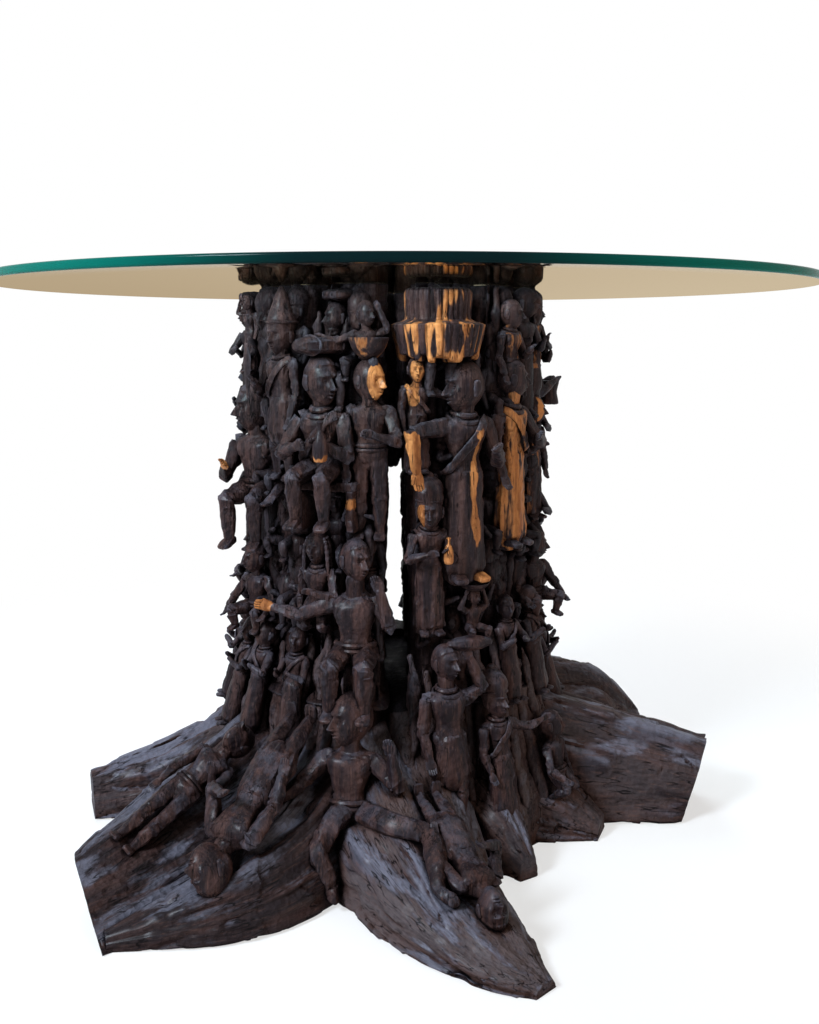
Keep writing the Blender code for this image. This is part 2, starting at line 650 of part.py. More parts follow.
def stool(look):
    """Low stool: a seat board on two board legs, one bent strip."""
    high = GLASS_UNDER * STOOL_TOP
    low = high - STOOL_BOARD
    foot = low - STOOL_LEG_HEIGHT
    half = STOOL_HALF_WIDTH
    inside = half - STOOL_LEG
    outline = ((-half, foot), (-inside, foot), (-inside, low), (inside, low), (inside, foot),
               (half, foot), (half, high), (-half, high))
    across = Vector((math.cos(math.radians(STOOL_ANGLE)), math.sin(math.radians(STOOL_ANGLE)), 0.0))
    rings = []
    for reach in (-STOOL_SINK, STOOL_OUT):
        base = spot(STOOL_ANGLE, POST_OUTER + reach, 0.0)
        rings.append([base + across * x + Vector((0.0, 0.0, z)) for x, z in outline])
    return finish("stool", loft(rings), look)


def main():
    """Build every piece of the table."""
    for thing in list(bpy.data.objects):
        bpy.data.objects.remove(thing)
    wood = material("blackwood")
    sapwood = material("sapwood")
    clear = material("clear_pad")

    glass_top(material("glass"))
    for name, angle in PADS:
        bumper_pad(name, angle, clear)
    posts = [post(entry, wood) for entry in POSTS]
    heart = stump_heart(wood)
    for entry in STUMP_PEOPLE:
        made = lesser_person(*entry, wood)
        carve(made, posts)
        combine(heart, made, "UNION")
    placed = [heart] + posts
    for root in ROOTS:
        made = root_limb(root, wood)
        carve(made, placed)
        placed.append(made)
    for made in (basket(sapwood), stool(wood)):
        carve(made, placed)
        placed.append(made)
    for entry in PEOPLE:
        look = sapwood if entry.name in PALE_PEOPLE else wood
        frame = against_trunk(entry.angle, entry.out, entry.foot, entry.lean, entry.spin)
        made = person(entry.name, frame, GLASS_UNDER * entry.size, entry.legs, entry.left, entry.right,
                      entry.turn, entry.load, look)
        carve(made, placed)
        placed.append(made)
    for entry in SLEEPERS:
        frame, size = lying(entry)
        made = person(entry.name, frame, size, entry.legs, entry.left, entry.right, entry.turn, "",
                      wood)
        carve(made, placed)
        placed.append(made)


main()
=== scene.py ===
"""Looks of the root dining table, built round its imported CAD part.

Every piece is worked out in whole arrays. Limbs and clothes are profiles carried along smooth
lines, heads, posts, roots and the stump are two-parameter grids, and knife cuts and gouges are
added along the normals of those grids.
"""
import math
from collections import namedtuple

import bpy
import numpy as np
from mathutils import Matrix, Vector


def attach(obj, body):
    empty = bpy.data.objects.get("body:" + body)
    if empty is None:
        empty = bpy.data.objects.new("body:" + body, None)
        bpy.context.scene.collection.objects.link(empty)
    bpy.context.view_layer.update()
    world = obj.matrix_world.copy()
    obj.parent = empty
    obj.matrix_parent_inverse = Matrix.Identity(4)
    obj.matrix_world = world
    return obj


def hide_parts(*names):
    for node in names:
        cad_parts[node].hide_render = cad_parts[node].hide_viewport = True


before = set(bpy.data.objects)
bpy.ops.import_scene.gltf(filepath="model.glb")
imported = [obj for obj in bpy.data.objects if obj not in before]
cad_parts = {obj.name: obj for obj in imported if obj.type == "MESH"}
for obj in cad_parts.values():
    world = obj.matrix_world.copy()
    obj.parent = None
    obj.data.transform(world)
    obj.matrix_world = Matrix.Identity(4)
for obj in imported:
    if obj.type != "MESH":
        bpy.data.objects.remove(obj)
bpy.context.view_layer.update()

bl_info = {
    "name": "Root dining table",
    "version": (1, 0, 0),
    "blender": (4, 5, 0),
    "location": "3D View > Sidebar > Root Table",
    "description": "Builds the looks of a carved root table with a round glass top",
    "category": "Object",
}

# Trunk uprights: name, left and right edge in degrees at the foot, and at the head
Post = namedtuple("Post", "name left right left_head right_head")
POSTS = (
    Post("post_left", -84.0, -34.0, -84.0, -35.0),
    Post("post_front_left", -31.0, -1.0, -30.0, -0.5),
    Post("post_front_right", 8.5, 36.0, 7.0, 36.0),
    Post("post_right", 40.0, 86.0, 40.0, 87.0),
    Post("post_back_right", 91.0, 134.0, 92.0, 134.0),
    Post("post_back_mid_right", 139.0, 174.0, 138.5, 179.0),
    Post("post_back_mid_left", 186.0, 221.0, 181.5, 221.0),
    Post("post_back_left", 226.0, 271.0, 226.0, 270.0),
)

# Levels of an upright: share of its height, flare of its section, sideways waver in degrees
POST_LEVELS = ((0.0, 1.12, 0.0), (0.16, 1.05, 0.5), (0.37, 1.0, -0.6), (0.61, 1.0, 0.6),
               (0.83, 0.995, -0.4), (1.0, 1.0, 0.0))

# Section of an upright: how many degrees narrower its inner face is, and the bulge of the middle
# of its outer and inner faces
POST_NARROW = 4.0
POST_BULGE_OUT = 0.002
POST_BULGE_IN = 0.010

# Pads on the uprights: name and angle
PADS = (("pad_front_left", -48.0), ("pad_front_right", 52.0), ("pad_back_right", 128.0),
        ("pad_back_left", 232.0))

# Levels of the stump: share of its height, reach beyond the uprights' face, depth of its lobes
STUMP_LEVELS = ((0.0, 0.080, 0.020), (0.29, 0.070, 0.018), (0.56, 0.052, 0.012), (0.80, 0.036, 0.007),
                (1.0, 0.024, 0.004))

# Lobes of the stump towards the roots, and its ribs
STUMP_LOBES = 5
STUMP_LOBE_TURN = 40.0
STUMP_RIBS = 18
STUMP_RIB = 0.005

# Hollow in the stump under the slot: its middle and half width in degrees, and its depth
HOLLOW_ANGLE = -3.0
HOLLOW_HALF = 8.0
HOLLOW_DEPTH = 0.042

# Strands of wood that run up the stump and the uprights: their wander in degrees, their thickness at
# the ends as a share, and their rows for each knot and points round
STRAND_WANDER = 1.6
STRAND_END = 0.45
STRAND_GRID = (6, 10)

# Their number round the stump, the angles left bare there and their highest end, and their number to
# a degree of an upright
STRAND_SEED = 5
STRANDS = 54
BARE_ANGLES = (HOLLOW_ANGLE, 180.0, HOLLOW_ANGLE + 360.0)
STRAND_TOP = 0.34
POST_STRANDS = 0.36

# Strands that close the upper gap between the two middle uprights at the back: the height they start
# at, their degrees from the upright's edge, how deep they are sunk and their thickness
CURTAIN_FOOT = 0.475
CURTAIN_OFFSETS = (0.0, 4.0)
CURTAIN_SUNK = 0.02
CURTAIN_THICK = 0.013

# Rows and points round of the large surfaces
STUMP_GRID = (90, 300)
POST_GRID = (130, 84)
ROOT_GRID = (124, 100)

# Clear room over the floor, over strands and over pads
FLOOR_GAP = 0.0005
GLASS_GAP = 0.004
PAD_GAP = 0.0003

# Root sections as (across, up) shares of the half width and height, sole first
ROUND_SECTION = ((-0.90, 0.0), (0.90, 0.0), (1.0, 0.22), (0.95, 0.46), (0.80, 0.58), (0.70, 0.80),
                 (0.42, 0.95), (0.16, 0.90), (-0.10, 1.0), (-0.42, 0.98), (-0.62, 0.80), (-0.86, 0.68),
                 (-1.0, 0.42), (-0.98, 0.20))
PLANK_SECTION = ((-0.92, 0.0), (0.96, 0.0), (1.0, 0.10), (0.60, 0.36), (0.10, 0.66), (-0.55, 1.0),
                 (-0.94, 0.92), (-1.0, 0.40))

# Roots: name, section, stations (x, y, half width, height), the way a sawn end faces in
# degrees from +X (None for a grown tip), and how far the top of that end overhangs
Root = namedtuple("Root", "name section stations saw overhang")
ROOTS = (
    Root("root_front", ROUND_SECTION,
         ((-0.020, -0.140, 0.110, 0.205), (0.005, -0.270, 0.100, 0.135), (0.050, -0.372, 0.076, 0.076),
          (0.105, -0.455, 0.050, 0.036), (0.150, -0.503, 0.016, 0.014)), None, 0.0),
    Root("root_left_plank", PLANK_SECTION,
         ((-0.100, -0.100, 0.100, 0.215), (-0.205, -0.200, 0.095, 0.140), (-0.295, -0.290, 0.083, 0.092),
          (-0.358, -0.366, 0.068, 0.062)), 200.0, 0.022),
    Root("root_left_toe", ROUND_SECTION,
         ((-0.070, -0.150, 0.090, 0.185), (-0.135, -0.290, 0.070, 0.112), (-0.215, -0.368, 0.052, 0.066),
          (-0.335, -0.418, 0.012, 0.018)), None, 0.0),
    Root("root_right", ROUND_SECTION,
         ((0.090, -0.020, 0.095, 0.215), (0.235, -0.045, 0.080, 0.166), (0.330, -0.055, 0.068, 0.138),
          (0.406, -0.062, 0.058, 0.110)), -16.0, 0.030),
    Root("root_right_lobe", ROUND_SECTION,
         ((0.110, -0.075, 0.080, 0.160), (0.200, -0.120, 0.060, 0.095), (0.272, -0.150, 0.022, 0.028)),
         None, 0.0),
    Root("root_back_right", ROUND_SECTION,
         ((0.080, 0.075, 0.090, 0.215), (0.210, 0.140, 0.080, 0.170), (0.315, 0.175, 0.064, 0.135),
          (0.392, 0.190, 0.026, 0.055)), None, 0.0),
    Root("root_back_left", ROUND_SECTION,
         ((-0.110, -0.010, 0.090, 0.215), (-0.235, -0.015, 0.072, 0.148), (-0.345, -0.040, 0.060, 0.092),
          (-0.450, -0.080, 0.034, 0.058)), None, 0.0),
    Root("root_back", ROUND_SECTION,
         ((-0.040, 0.110, 0.100, 0.215), (-0.085, 0.255, 0.085, 0.145), (-0.120, 0.365, 0.060, 0.092),
          (-0.140, 0.445, 0.022, 0.036)), None, 0.0),
    Root("root_stub", ROUND_SECTION,
         ((0.060, -0.130, 0.050, 0.130), (0.125, -0.220, 0.036, 0.090), (0.158, -0.272, 0.014, 0.034)),
         None, 0.0),
)

# Sawn ends: where along its root the turn to the sawn face starts, the rings of the face as shares
# of its outline, and how far the heart of the year rings lies from its middle
SAW_START = 0.62
SAW_RINGS = (0.985, 0.9, 0.75, 0.55, 0.35, 0.15)
SAW_HEART = (0.02, 0.0, -0.015)

# Arms as (sideways, outward, upward) from the shoulder to elbow and hand, in figure heights
ARMS = {
    "down": ((0.035, 0.010, -0.170), (0.015, 0.055, -0.310)),
    "folded": ((0.066, 0.085, -0.150), (-0.062, 0.162, -0.105)),
    "hold": ((0.046, 0.055, -0.160), (-0.022, 0.158, -0.095)),
    "raised": ((0.085, 0.030, 0.050), (0.015, 0.045, 0.220)),
    "reach": ((0.140, 0.040, -0.050), (0.270, 0.045, -0.020)),
    "knee": ((0.090, 0.055, -0.150), (0.078, 0.160, -0.225)),
    "bent_up": ((0.110, 0.045, -0.100), (0.085, 0.085, 0.055)),
    "stretch": ((0.110, 0.050, -0.110), (0.240, 0.070, -0.230)),
    "crook": ((0.175, 0.040, -0.010), (0.165, 0.075, -0.190)),
    "close_up": ((0.060, 0.045, -0.085), (0.018, 0.075, 0.080)),
}

# Legs as (sideways, outward, upward) from the hip to knee, ankle and toe, and the hip's height
Legs = namedtuple("Legs", "hip joints")
LEGS = {
    "stand": Legs(0.48, ((0.010, 0.020, -0.240), (0.008, 0.004, -0.445), (0.014, 0.060, -0.468))),
    "sit": Legs(0.27, ((0.030, 0.165, -0.030), (0.030, 0.150, -0.235), (0.034, 0.205, -0.258))),
    "crouch": Legs(0.16, ((0.072, 0.190, 0.010), (0.064, 0.160, -0.125), (0.070, 0.215, -0.140))),
    "kneel": Legs(0.20, ((0.030, 0.100, -0.130), (0.040, -0.010, -0.170), (0.042, -0.050, -0.180))),
    "astride": Legs(0.20, ((0.130, 0.060, -0.050), (0.140, 0.070, -0.160), (0.150, 0.120, -0.185))),
    "skirt": Legs(0.48, ()),
    "bust": Legs(0.48, ()),
}

# Body rings: height, half width, half depth, forward shift, in figure heights
TORSO = ((0.425, 0.056, 0.048, 0.000), (0.455, 0.082, 0.066, 0.000), (0.490, 0.088, 0.072, 0.000),
         (0.532, 0.075, 0.061, 0.002), (0.572, 0.066, 0.056, 0.003), (0.625, 0.080, 0.065, 0.008),
         (0.675, 0.098, 0.073, 0.010), (0.708, 0.108, 0.066, 0.006), (0.734, 0.090, 0.054, 0.004),
         (0.752, 0.052, 0.044, 0.006), (0.772, 0.040, 0.041, 0.010), (0.820, 0.038, 0.041, 0.014))
SKIRT = ((0.045, 0.098, 0.076, 0.006), (0.080, 0.112, 0.084, 0.006), (0.200, 0.105, 0.080, 0.004),
         (0.320, 0.100, 0.078, 0.004), (0.430, 0.094, 0.076, 0.002), (0.500, 0.088, 0.074, 0.000),
         (0.522, 0.068, 0.056, 0.000))
KILT = ((0.285, 0.102, 0.082, 0.004), (0.320, 0.112, 0.088, 0.004), (0.420, 0.102, 0.083, 0.002),
        (0.505, 0.090, 0.075, 0.000), (0.522, 0.068, 0.056, 0.000))
SASH = ((-0.100, -0.030, 0.742), (-0.072, -0.066, 0.722), (-0.020, -0.092, 0.660),
        (0.044, -0.078, 0.590), (0.086, -0.056, 0.530), (0.100, -0.010, 0.500))
SASH_SIZE = (0.022, 0.009)

# Clothes with folds: rings, rows, points round, number of folds and their depth
GARMENTS = {
    "skirt": (SKIRT, 30, 48, 11, 0.065),
    "kilt": (KILT, 18, 44, 13, 0.050),
}

# Rings round the body: forward shift, height, half width, half depth, thickness, steps and tilt
HOOPS = {
    "collar": ((-0.006, 0.764, 0.050, 0.048, 0.014, 30, 0.22),
               (-0.008, 0.742, 0.072, 0.060, 0.012, 34, 0.34)),
    "belt": ((-0.001, 0.530, 0.086, 0.068, 0.013, 36, 0.0),
             (-0.001, 0.505, 0.092, 0.073, 0.012, 36, 0.0)),
}

# Limbs: place of the shoulder, sideways place of the hip, radii from hip to ankle and from inside
# the shoulder to the wrist, and how near the middle of an elbow or knee its bend starts
SHOULDER = (0.108, 0.004, 0.704)
HIP = 0.046
LEG_RADII = (0.052, 0.048, 0.037, 0.037, 0.022)
ARM_RADII = (0.032, 0.040, 0.032, 0.029, 0.027, 0.018)
BEND = 0.86

# How square the carver left bodies and limbs, where an oval is 2, and the angle of a crisp edge
BODY_BOX = 2.9
LIMB_BOX = 3.6
CRISP = 22.0

# How far a bust is let down, and the first body ring it shows
BUST_CUT = 0.57
BUST_RING = 3

# Ways that the depth of a tube points: back, up, or slanting so that no limb runs along it
BACK = (0.0, 1.0, 0.0)
UP = (0.0, 0.0, 1.0)
DIAGONAL = (0.60, 0.35, 0.72)

# Palm as reach, half width and half depth, the places of four fingers across it, and their pitch
PALM = ((-0.008, 0.017, 0.014), (0.012, 0.026, 0.015), (0.036, 0.028, 0.013), (0.048, 0.024, 0.010))
FINGERS = (-1.5, -0.5, 0.5, 1.5)
FINGER_PITCH = 0.0118

# Head: half width, half depth, half height, and where it sits
HEAD_SIZE = (0.077, 0.095, 0.118)
HEAD_AT = (0.0, -0.014, 0.884)

# Heads that are not of the usual size, as a share of it
HEADS = {
    "round_headed_man": 0.82,
    "tall_draped_man": 0.86,
    "raised_arm_woman": 0.86,
    "lower_woman": 1.12,
}

# Face as soft bumps: rise, height, spread in height, distance from the middle, sideways spread
FACE = {
    "brow": (0.110, 0.24, 0.085, 0.24, 0.26),
    "socket": (-0.250, 0.03, 0.13, 0.33, 0.17),
    "eye": (0.175, 0.02, 0.070, 0.35, 0.12),
    "lids": (-0.080, 0.005, 0.026, 0.35, 0.11),
    "nostril": (0.130, -0.30, 0.065, 0.15, 0.07),
    "mouth": (0.080, -0.53, 0.20, 0.0, 0.34),
    "lip_line": (-0.090, -0.535, 0.030, 0.0, 0.22),
    "upper_lip": (0.140, -0.465, 0.050, 0.0, 0.19),
    "lower_lip": (0.145, -0.605, 0.055, 0.0, 0.17),
    "chin": (0.110, -0.88, 0.13, 0.0, 0.22),
    "cheek": (0.090, -0.12, 0.14, 0.62, 0.18),
}

# Hairline: height by the angle from the front in radians
HAIRLINE = ((0.0, 0.9, 1.6, 2.2, math.pi), (0.62, 0.56, 0.18, -0.35, -0.60))

# Ear as a tube beside the head: x, y, z, half width, half depth
EAR = ((0.074, 0.004, -0.034, 0.011, 0.013), (0.080, 0.008, -0.008, 0.012, 0.022),
       (0.078, 0.006, 0.022, 0.010, 0.018))

# Braids: how many and how far round they reach in radians, and each as a tube of shares of its
# sideways and backward place, height and radius, with knobs
BRAIDS = 11
BRAID_REACH = 1.9
BRAID_AT = (0.079, 0.091)
BRAID = ((0.80, 0.80, 0.062, 0.015), (1.08, 1.05, 0.0, 0.016), (1.20, 1.05, -0.10, 0.015),
         (1.24, 0.95, -0.22, 0.010))
BRAID_GRID = (26, 9)

# How deep knife cuts go on parts of a person, as shares of those on the body, and the height from
# which a person has them in full
DEPTHS = {"foot": 0.3, "hand": 0.15, "hoop": 0.3, "head": 0.14, "hair": 0.12, "load": 0.4, "item": 0.25}
FULL_CUT_SIZE = 0.18

# What stands on the head: rings of height, half width, half depth
LOADS = {
    "hat": ((0.935, 0.084, 0.100), (0.985, 0.086, 0.098), (1.030, 0.070, 0.078), (1.090, 0.050, 0.052),
            (1.135, 0.034, 0.036), (1.165, 0.016, 0.018)),
    "cap": ((0.930, 0.086, 0.102), (1.000, 0.084, 0.096), (1.050, 0.070, 0.078), (1.080, 0.036, 0.042)),
    "wrap": ((0.920, 0.086, 0.104), (0.985, 0.097, 0.112), (1.035, 0.094, 0.104), (1.085, 0.072, 0.078),
             (1.115, 0.032, 0.036)),
}

# Bundle on the head, a tube of x, y, z, half depth and half height, and where its straps are
BUNDLE = ((-0.112, 0.0, 1.046, 0.066, 0.026), (-0.092, 0.0, 1.046, 0.086, 0.035),
          (0.0, 0.0, 1.048, 0.092, 0.038), (0.092, 0.0, 1.046, 0.086, 0.035),
          (0.112, 0.0, 1.046, 0.066, 0.026))
BUNDLE_STRAPS = (-0.06, 0.06)

# People on the trunk: angle, how far out from the uprights' face, foot height, standing height,
# legs, arms (left and right as seen from outside), head turn, hair, dress, load on the head, lean,
# the parts cut from pale sapwood, the thing they carry, their turn from facing straight out, and how
# far their head tips back
Person = namedtuple("Person", "name angle out foot size legs left right turn hair dress "
                              "load lean pale item spin nod", defaults=("", 0, "", "", 0, 0))
PEOPLE = (
    Person("hat_man", -43, 0.008, 0.492, 0.210, "stand", "hold", "down", 10, "crop", "collar kilt sash",
           load="hat", item="blade"),
    Person("horn_boy", -70, 0.008, 0.628, 0.106, "skirt", "raised", "down", -20, "crop", "", spin=30),
    Person("left_seated", -65, 0.006, 0.395, 0.280, "sit", "hold", "knee", -30, "crop", "belt",
           pale="hand_left", spin=38),
    Person("left_croucher", -62, 0.015, 0.280, 0.175, "crouch", "knee", "knee", -25, "bald", "belt",
           spin=30),
    Person("bundle_woman", -24, 0.011, 0.440, 0.270, "sit", "folded", "hold", 58, "rows", "collar sash",
           load="bundle", item="bottle"),
    Person("top_bearer", -8, 0.008, 0.660, 0.140, "bust", "reach", "raised", 45, "bald", ""),
    Person("standing_profile", -7, 0.008, 0.424, 0.226, "stand", "down", "folded", 55, "bald", "belt",
           pale="face", item="cup"),
    Person("long_haired_woman", -26, 0.015, 0.300, 0.185, "kneel", "down", "folded", 5, "long", "collar"),
    Person("round_headed_man", -11, 0.040, 0.205, 0.282, "sit", "reach", "close_up", 45, "crop", "belt",
           lean=4, pale="hand_left"),
    Person("orange_bearer", 10, 0.006, 0.508, 0.146, "skirt", "down", "reach", -5, "crop", "sash",
           pale="face chest"),
    Person("bald_woman", 27, 0.011, 0.368, 0.280, "skirt", "crook", "hold", -80, "bald", "collar sash",
           pale="streak forearm_left foot"),
    Person("lower_woman", 14, 0.015, 0.302, 0.182, "skirt", "folded", "hold", -15, "rows", "collar",
           load="wrap", pale="temple flask", item="bottle"),
    Person("crouching_bearer", 31, 0.015, 0.285, 0.108, "crouch", "raised", "raised", 10, "crop", "",
           item="bowl"),
    Person("tall_draped_man", 51, 0.008, 0.402, 0.245, "skirt", "down", "folded", 50, "crop",
           "collar sash", pale="ruddy robe"),
    Person("cloaked_elder", 50, 0.008, 0.655, 0.160, "bust", "down", "hold", 20, "bald", "collar",
           pale="streak ruddy"),
    Person("capped_man", 75, 0.008, 0.606, 0.117, "stand", "down", "hold", 55, "crop", "kilt", load="cap",
           pale="ruddy", spin=-35),
    Person("right_elder", 75, 0.008, 0.425, 0.172, "skirt", "hold", "down", 50, "bald", "collar",
           pale="temple ruddy", spin=-30),
    Person("right_croucher", 72, 0.015, 0.290, 0.180, "crouch", "knee", "knee", 55, "crop", "belt",
           spin=-35),
    Person("central_man", -10, 0.102, 0.040, 0.285, "astride", "stretch", "bent_up", -40, "crop", "belt",
           lean=10, item="tufts"),
    Person("raised_arm_woman", 17, 0.076, 0.062, 0.235, "stand", "down", "raised", 24, "rows",
           "collar kilt", lean=8, item="sack"),
    Person("wrapped_woman", 34, 0.078, 0.050, 0.185, "skirt", "down", "reach", 5, "crop", "collar sash",
           load="wrap", lean=10),
    Person("kneeling_boy", 56, 0.088, 0.060, 0.165, "kneel", "knee", "down", 30, "crop", "belt", lean=12),
    Person("drummer", 102, 0.008, 0.480, 0.215, "stand", "hold", "hold", 0, "crop", "kilt", load="hat",
           item="drum"),
    Person("mother", 125, 0.008, 0.430, 0.215, "skirt", "folded", "hold", 15, "rows", "collar sash",
           load="bundle", pale="streak"),
    Person("back_croucher_right", 112, 0.015, 0.290, 0.185, "crouch", "knee", "knee", -20, "crop",
           "belt"),
    Person("pounder", 157, 0.008, 0.500, 0.212, "stand", "raised", "hold", 10, "crop", "kilt",
           load="wrap", item="staff"),
    Person("back_seated", 155, 0.014, 0.280, 0.250, "sit", "knee", "knee", 0, "rows", "belt collar"),
    Person("flute_player", 203, 0.008, 0.470, 0.225, "skirt", "hold", "hold", -10, "crop", "sash",
           load="hat", item="flute"),
    Person("back_kneeler", 203, 0.015, 0.285, 0.215, "kneel", "folded", "folded", 20, "crop", "collar",
           load="wrap", pale="temple"),
    Person("water_carrier", 248, 0.008, 0.470, 0.220, "skirt", "raised", "down", 0, "rows", "collar",
           load="bundle", pale="streak"),
    Person("back_croucher_left", 248, 0.015, 0.290, 0.200, "crouch", "knee", "knee", 0, "bald", "belt"),
)

# How finely people are carved at the front, at the back, on the uprights and on the stump, and
# above what fineness they have fingers
FRONT_FINE = 0.92
BACK_FINE = 0.70
CROWD_FINE = 0.38
STUMP_FINE = 0.52
HAND_FINE = 0.6

# Lesser people on the uprights: where their feet stand and by how much that varies, how far out they
# are, how near an edge of an upright or of the slot, from what width on three stand abreast, how
# their rows are staggered, and how far they stray in degrees
CROWD_SEED = 11
CROWD_FEET = (0.215, 0.300, 0.385, 0.470, 0.550, 0.620)
CROWD_RISE = 0.012
CROWD_OUT = -0.010
CROWD_EDGE = 6.0
SLOT_EDGE = 9.0
CROWD_WIDE = 40.0
CROWD_STAGGER = 0.2
CROWD_STRAY = 2.0

# Their sizes and stances, of which the first few arms and legs are calm, and the room left over them
CROWD_SIZE = (0.135, 0.175)
CROWD_TURN = 45.0
CROWD_ARMS = ("down", "folded", "hold", "raised", "knee", "bent_up")
CROWD_LEGS = ("stand", "skirt", "kneel", "sit", "crouch", "stand")
CROWD_CALM = 3
CROWD_LOADS = ("", "", "", "wrap", "cap", "bundle")
CROWD_HAIR = ("crop", "rows", "bald")
CROWD_DRESS = ("", "belt", "kilt", "collar", "collar sash")
LOAD_TALL = 0.12
CROWD_GAP = 0.002

# Those at the trunk's sides: angles where the sides start and end softly, how far the people there
# turn to the front, and how much further out they stand
SIDE_START = (55.0, 75.0)
SIDE_END = (105.0, 125.0)
CROWD_SPIN = 40.0
CROWD_BESIDE = 0.014

# Lesser people on the stump: angle, how far out, foot height, standing height, lean, head turn
STUMP_CROWD = (
    (-35, 0.046, 0.155, 0.150, 13, 20), (-53, 0.050, 0.150, 0.150, 15, -15),
    (-69, 0.054, 0.135, 0.160, 16, 30), (-86, 0.050, 0.150, 0.155, 15, -20),
    (46, 0.036, 0.195, 0.145, 8, -25), (63, 0.038, 0.190, 0.150, 9, 15),
    (79, 0.050, 0.150, 0.155, 15, -30), (96, 0.050, 0.145, 0.155, 15, 10),
    (114, 0.052, 0.130, 0.160, 16, 25), (133, 0.054, 0.125, 0.160, 16, -10),
    (152, 0.052, 0.135, 0.155, 15, 20), (171, 0.050, 0.140, 0.150, 15, -25),
    (190, 0.036, 0.170, 0.150, 9, 15), (211, 0.054, 0.125, 0.160, 16, -20),
    (232, 0.052, 0.135, 0.155, 15, 30), (253, 0.054, 0.130, 0.160, 16, -15),
)

# People lying on the roots: feet, crown, the way the face looks, legs, arms, head turn, hair and
# dress, and how far their heads tip back
Sleeper = namedtuple("Sleeper", "name feet crown face legs left right turn hair dress")
SLEEPER_NOD = 50.0
SLEEPERS = (
    Sleeper("plank_sleeper", (-0.124, -0.222, 0.206), (-0.232, -0.404, 0.056), (-0.30, -0.42, 0.86),
            "stand", "down", "folded", 20, "crop", "kilt"),
    Sleeper("plank_rider", (-0.345, -0.315, 0.066), (-0.200, -0.188, 0.166), (0.10, -0.70, 0.70),
            "stand", "down", "hold", -20, "crop", "belt"),
    Sleeper("front_sleeper", (0.025, -0.275, 0.122), (0.108, -0.452, 0.044), (0.25, -0.35, 0.90),
            "stand", "folded", "down", 10, "crop", "kilt"),
)

# Legs that lie over the roots, as points and radii from hip to toe
LIMBS = {
    "central_man": (
        ((-0.045, -0.298, 0.100, 0.014), (-0.015, -0.334, 0.106, 0.014), (0.030, -0.352, 0.100, 0.012),
         (0.038, -0.385, 0.083, 0.011), (0.040, -0.412, 0.068, 0.007), (0.056, -0.428, 0.062, 0.007)),
        ((-0.075, -0.296, 0.100, 0.014), (-0.090, -0.312, 0.090, 0.013), (-0.102, -0.332, 0.069, 0.011),
         (-0.092, -0.336, 0.044, 0.010), (-0.086, -0.338, 0.026, 0.007), (-0.082, -0.350, 0.018, 0.006))),
}

# Woods: the inputs of the wood group, which are how much sapwood they have, their grey bloom and
# painted sky sheen on upper faces, their settled dust and how much painted shade darkens them, as if in
# the shade of the carving, and then the depth of their fine marks
WOOD_INPUTS = ("Sapwood", "Bloom", "Dusting", "Shade")
WOODS = {
    # Shade darkens each wood as painted shade, most of all the uprights and the lesser people
    "blackwood_trunk": (0.0, 0.06, 0.06, 0.50, 0.0034),
    "blackwood_people": (0.0, 0.26, 0.06, 0.08, 0.0030),
    "blackwood_crowd": (0.0, 0.12, 0.04, 0.50, 0.0030),
    "blackwood_stump": (0.0, 0.15, 0.75, 0.10, 0.0040),
    "blackwood_root": (0.0, 0.90, 0.34, 0.0, 0.0042),
    "blackwood_plank": (0.0, 0.95, 0.10, 0.30, 0.0042),
    "blackwood_front_root": (0.0, 1.00, 0.80, 0.0, 0.0042),
    "sapwood_basket": (0.55, 0.00, 0.00, 0.0, 0.0030),
}

# Roots that differ from the usual look: the front root has more painted sheen and dust, and the left
# plank and toe have less dust and some painted shade
ROOT_WOODS = {
    "root_front": "blackwood_front_root",
    "root_left_plank": "blackwood_plank",
    "root_left_toe": "blackwood_plank",
}

# Small things people carry, as turned profiles of radius and height in figure heights
BOTTLE = ((0.004, 0.000), (0.026, 0.002), (0.033, 0.030), (0.033, 0.080), (0.024, 0.112), (0.012, 0.140),
          (0.012, 0.165), (0.017, 0.180), (0.004, 0.184))
BOWL = ((0.006, 0.000), (0.060, 0.004), (0.150, 0.050), (0.190, 0.100), (0.180, 0.104), (0.130, 0.062),
        (0.010, 0.034))
DRUM = ((0.006, 0.000), (0.058, 0.002), (0.064, 0.020), (0.054, 0.080), (0.066, 0.150), (0.062, 0.160),
        (0.006, 0.156))

# A cup is the bowl drawn narrower and taller
CUP_SIZE = (0.58, 0.58, 1.15)

# Longer things people carry: points of the flute, heights of the staff and of the blade with its
# half widths from the hand, and the sack with its half heights
FLUTE = ((0.0, -0.100, 0.838), (0.010, -0.150, 0.720), (0.020, -0.190, 0.585))
STAFF = (-0.78, -0.40, 0.0, 0.10)
BLADE = ((-0.10, 0.014), (0.02, 0.022), (0.14, 0.034), (0.22, 0.010))
SACK = ((-0.10, 0.030), (-0.05, 0.052), (0.04, 0.058), (0.11, 0.034))

# Tufts on the head: how far apart, and shares of that, heights and radii
TUFT_X = 0.036
TUFT = ((1.0, 0.97, 0.024), (1.1, 1.04, 0.021), (1.2, 1.10, 0.016))

# Striped basket: its angle and how deep it is sunk, its profile of radius and height, its rows, its
# slats and its points round, and the depth of their seams and steps
BASKET_ANGLE = 19.0
BASKET_SUNK = 0.006
BASKET = ((0.020, 0.656), (0.048, 0.657), (0.054, 0.664), (0.060, 0.688), (0.058, 0.692), (0.046, 0.696),
          (0.042, 0.702), (0.042, 0.733), (0.020, 0.734))
BASKET_ROWS = 60
BASKET_SLATS = 34
BASKET_SIDES = 204
SLAT_SEAM = 0.0022
SLAT_STEP = 0.0020
SLAT_FRINGE = 0.012

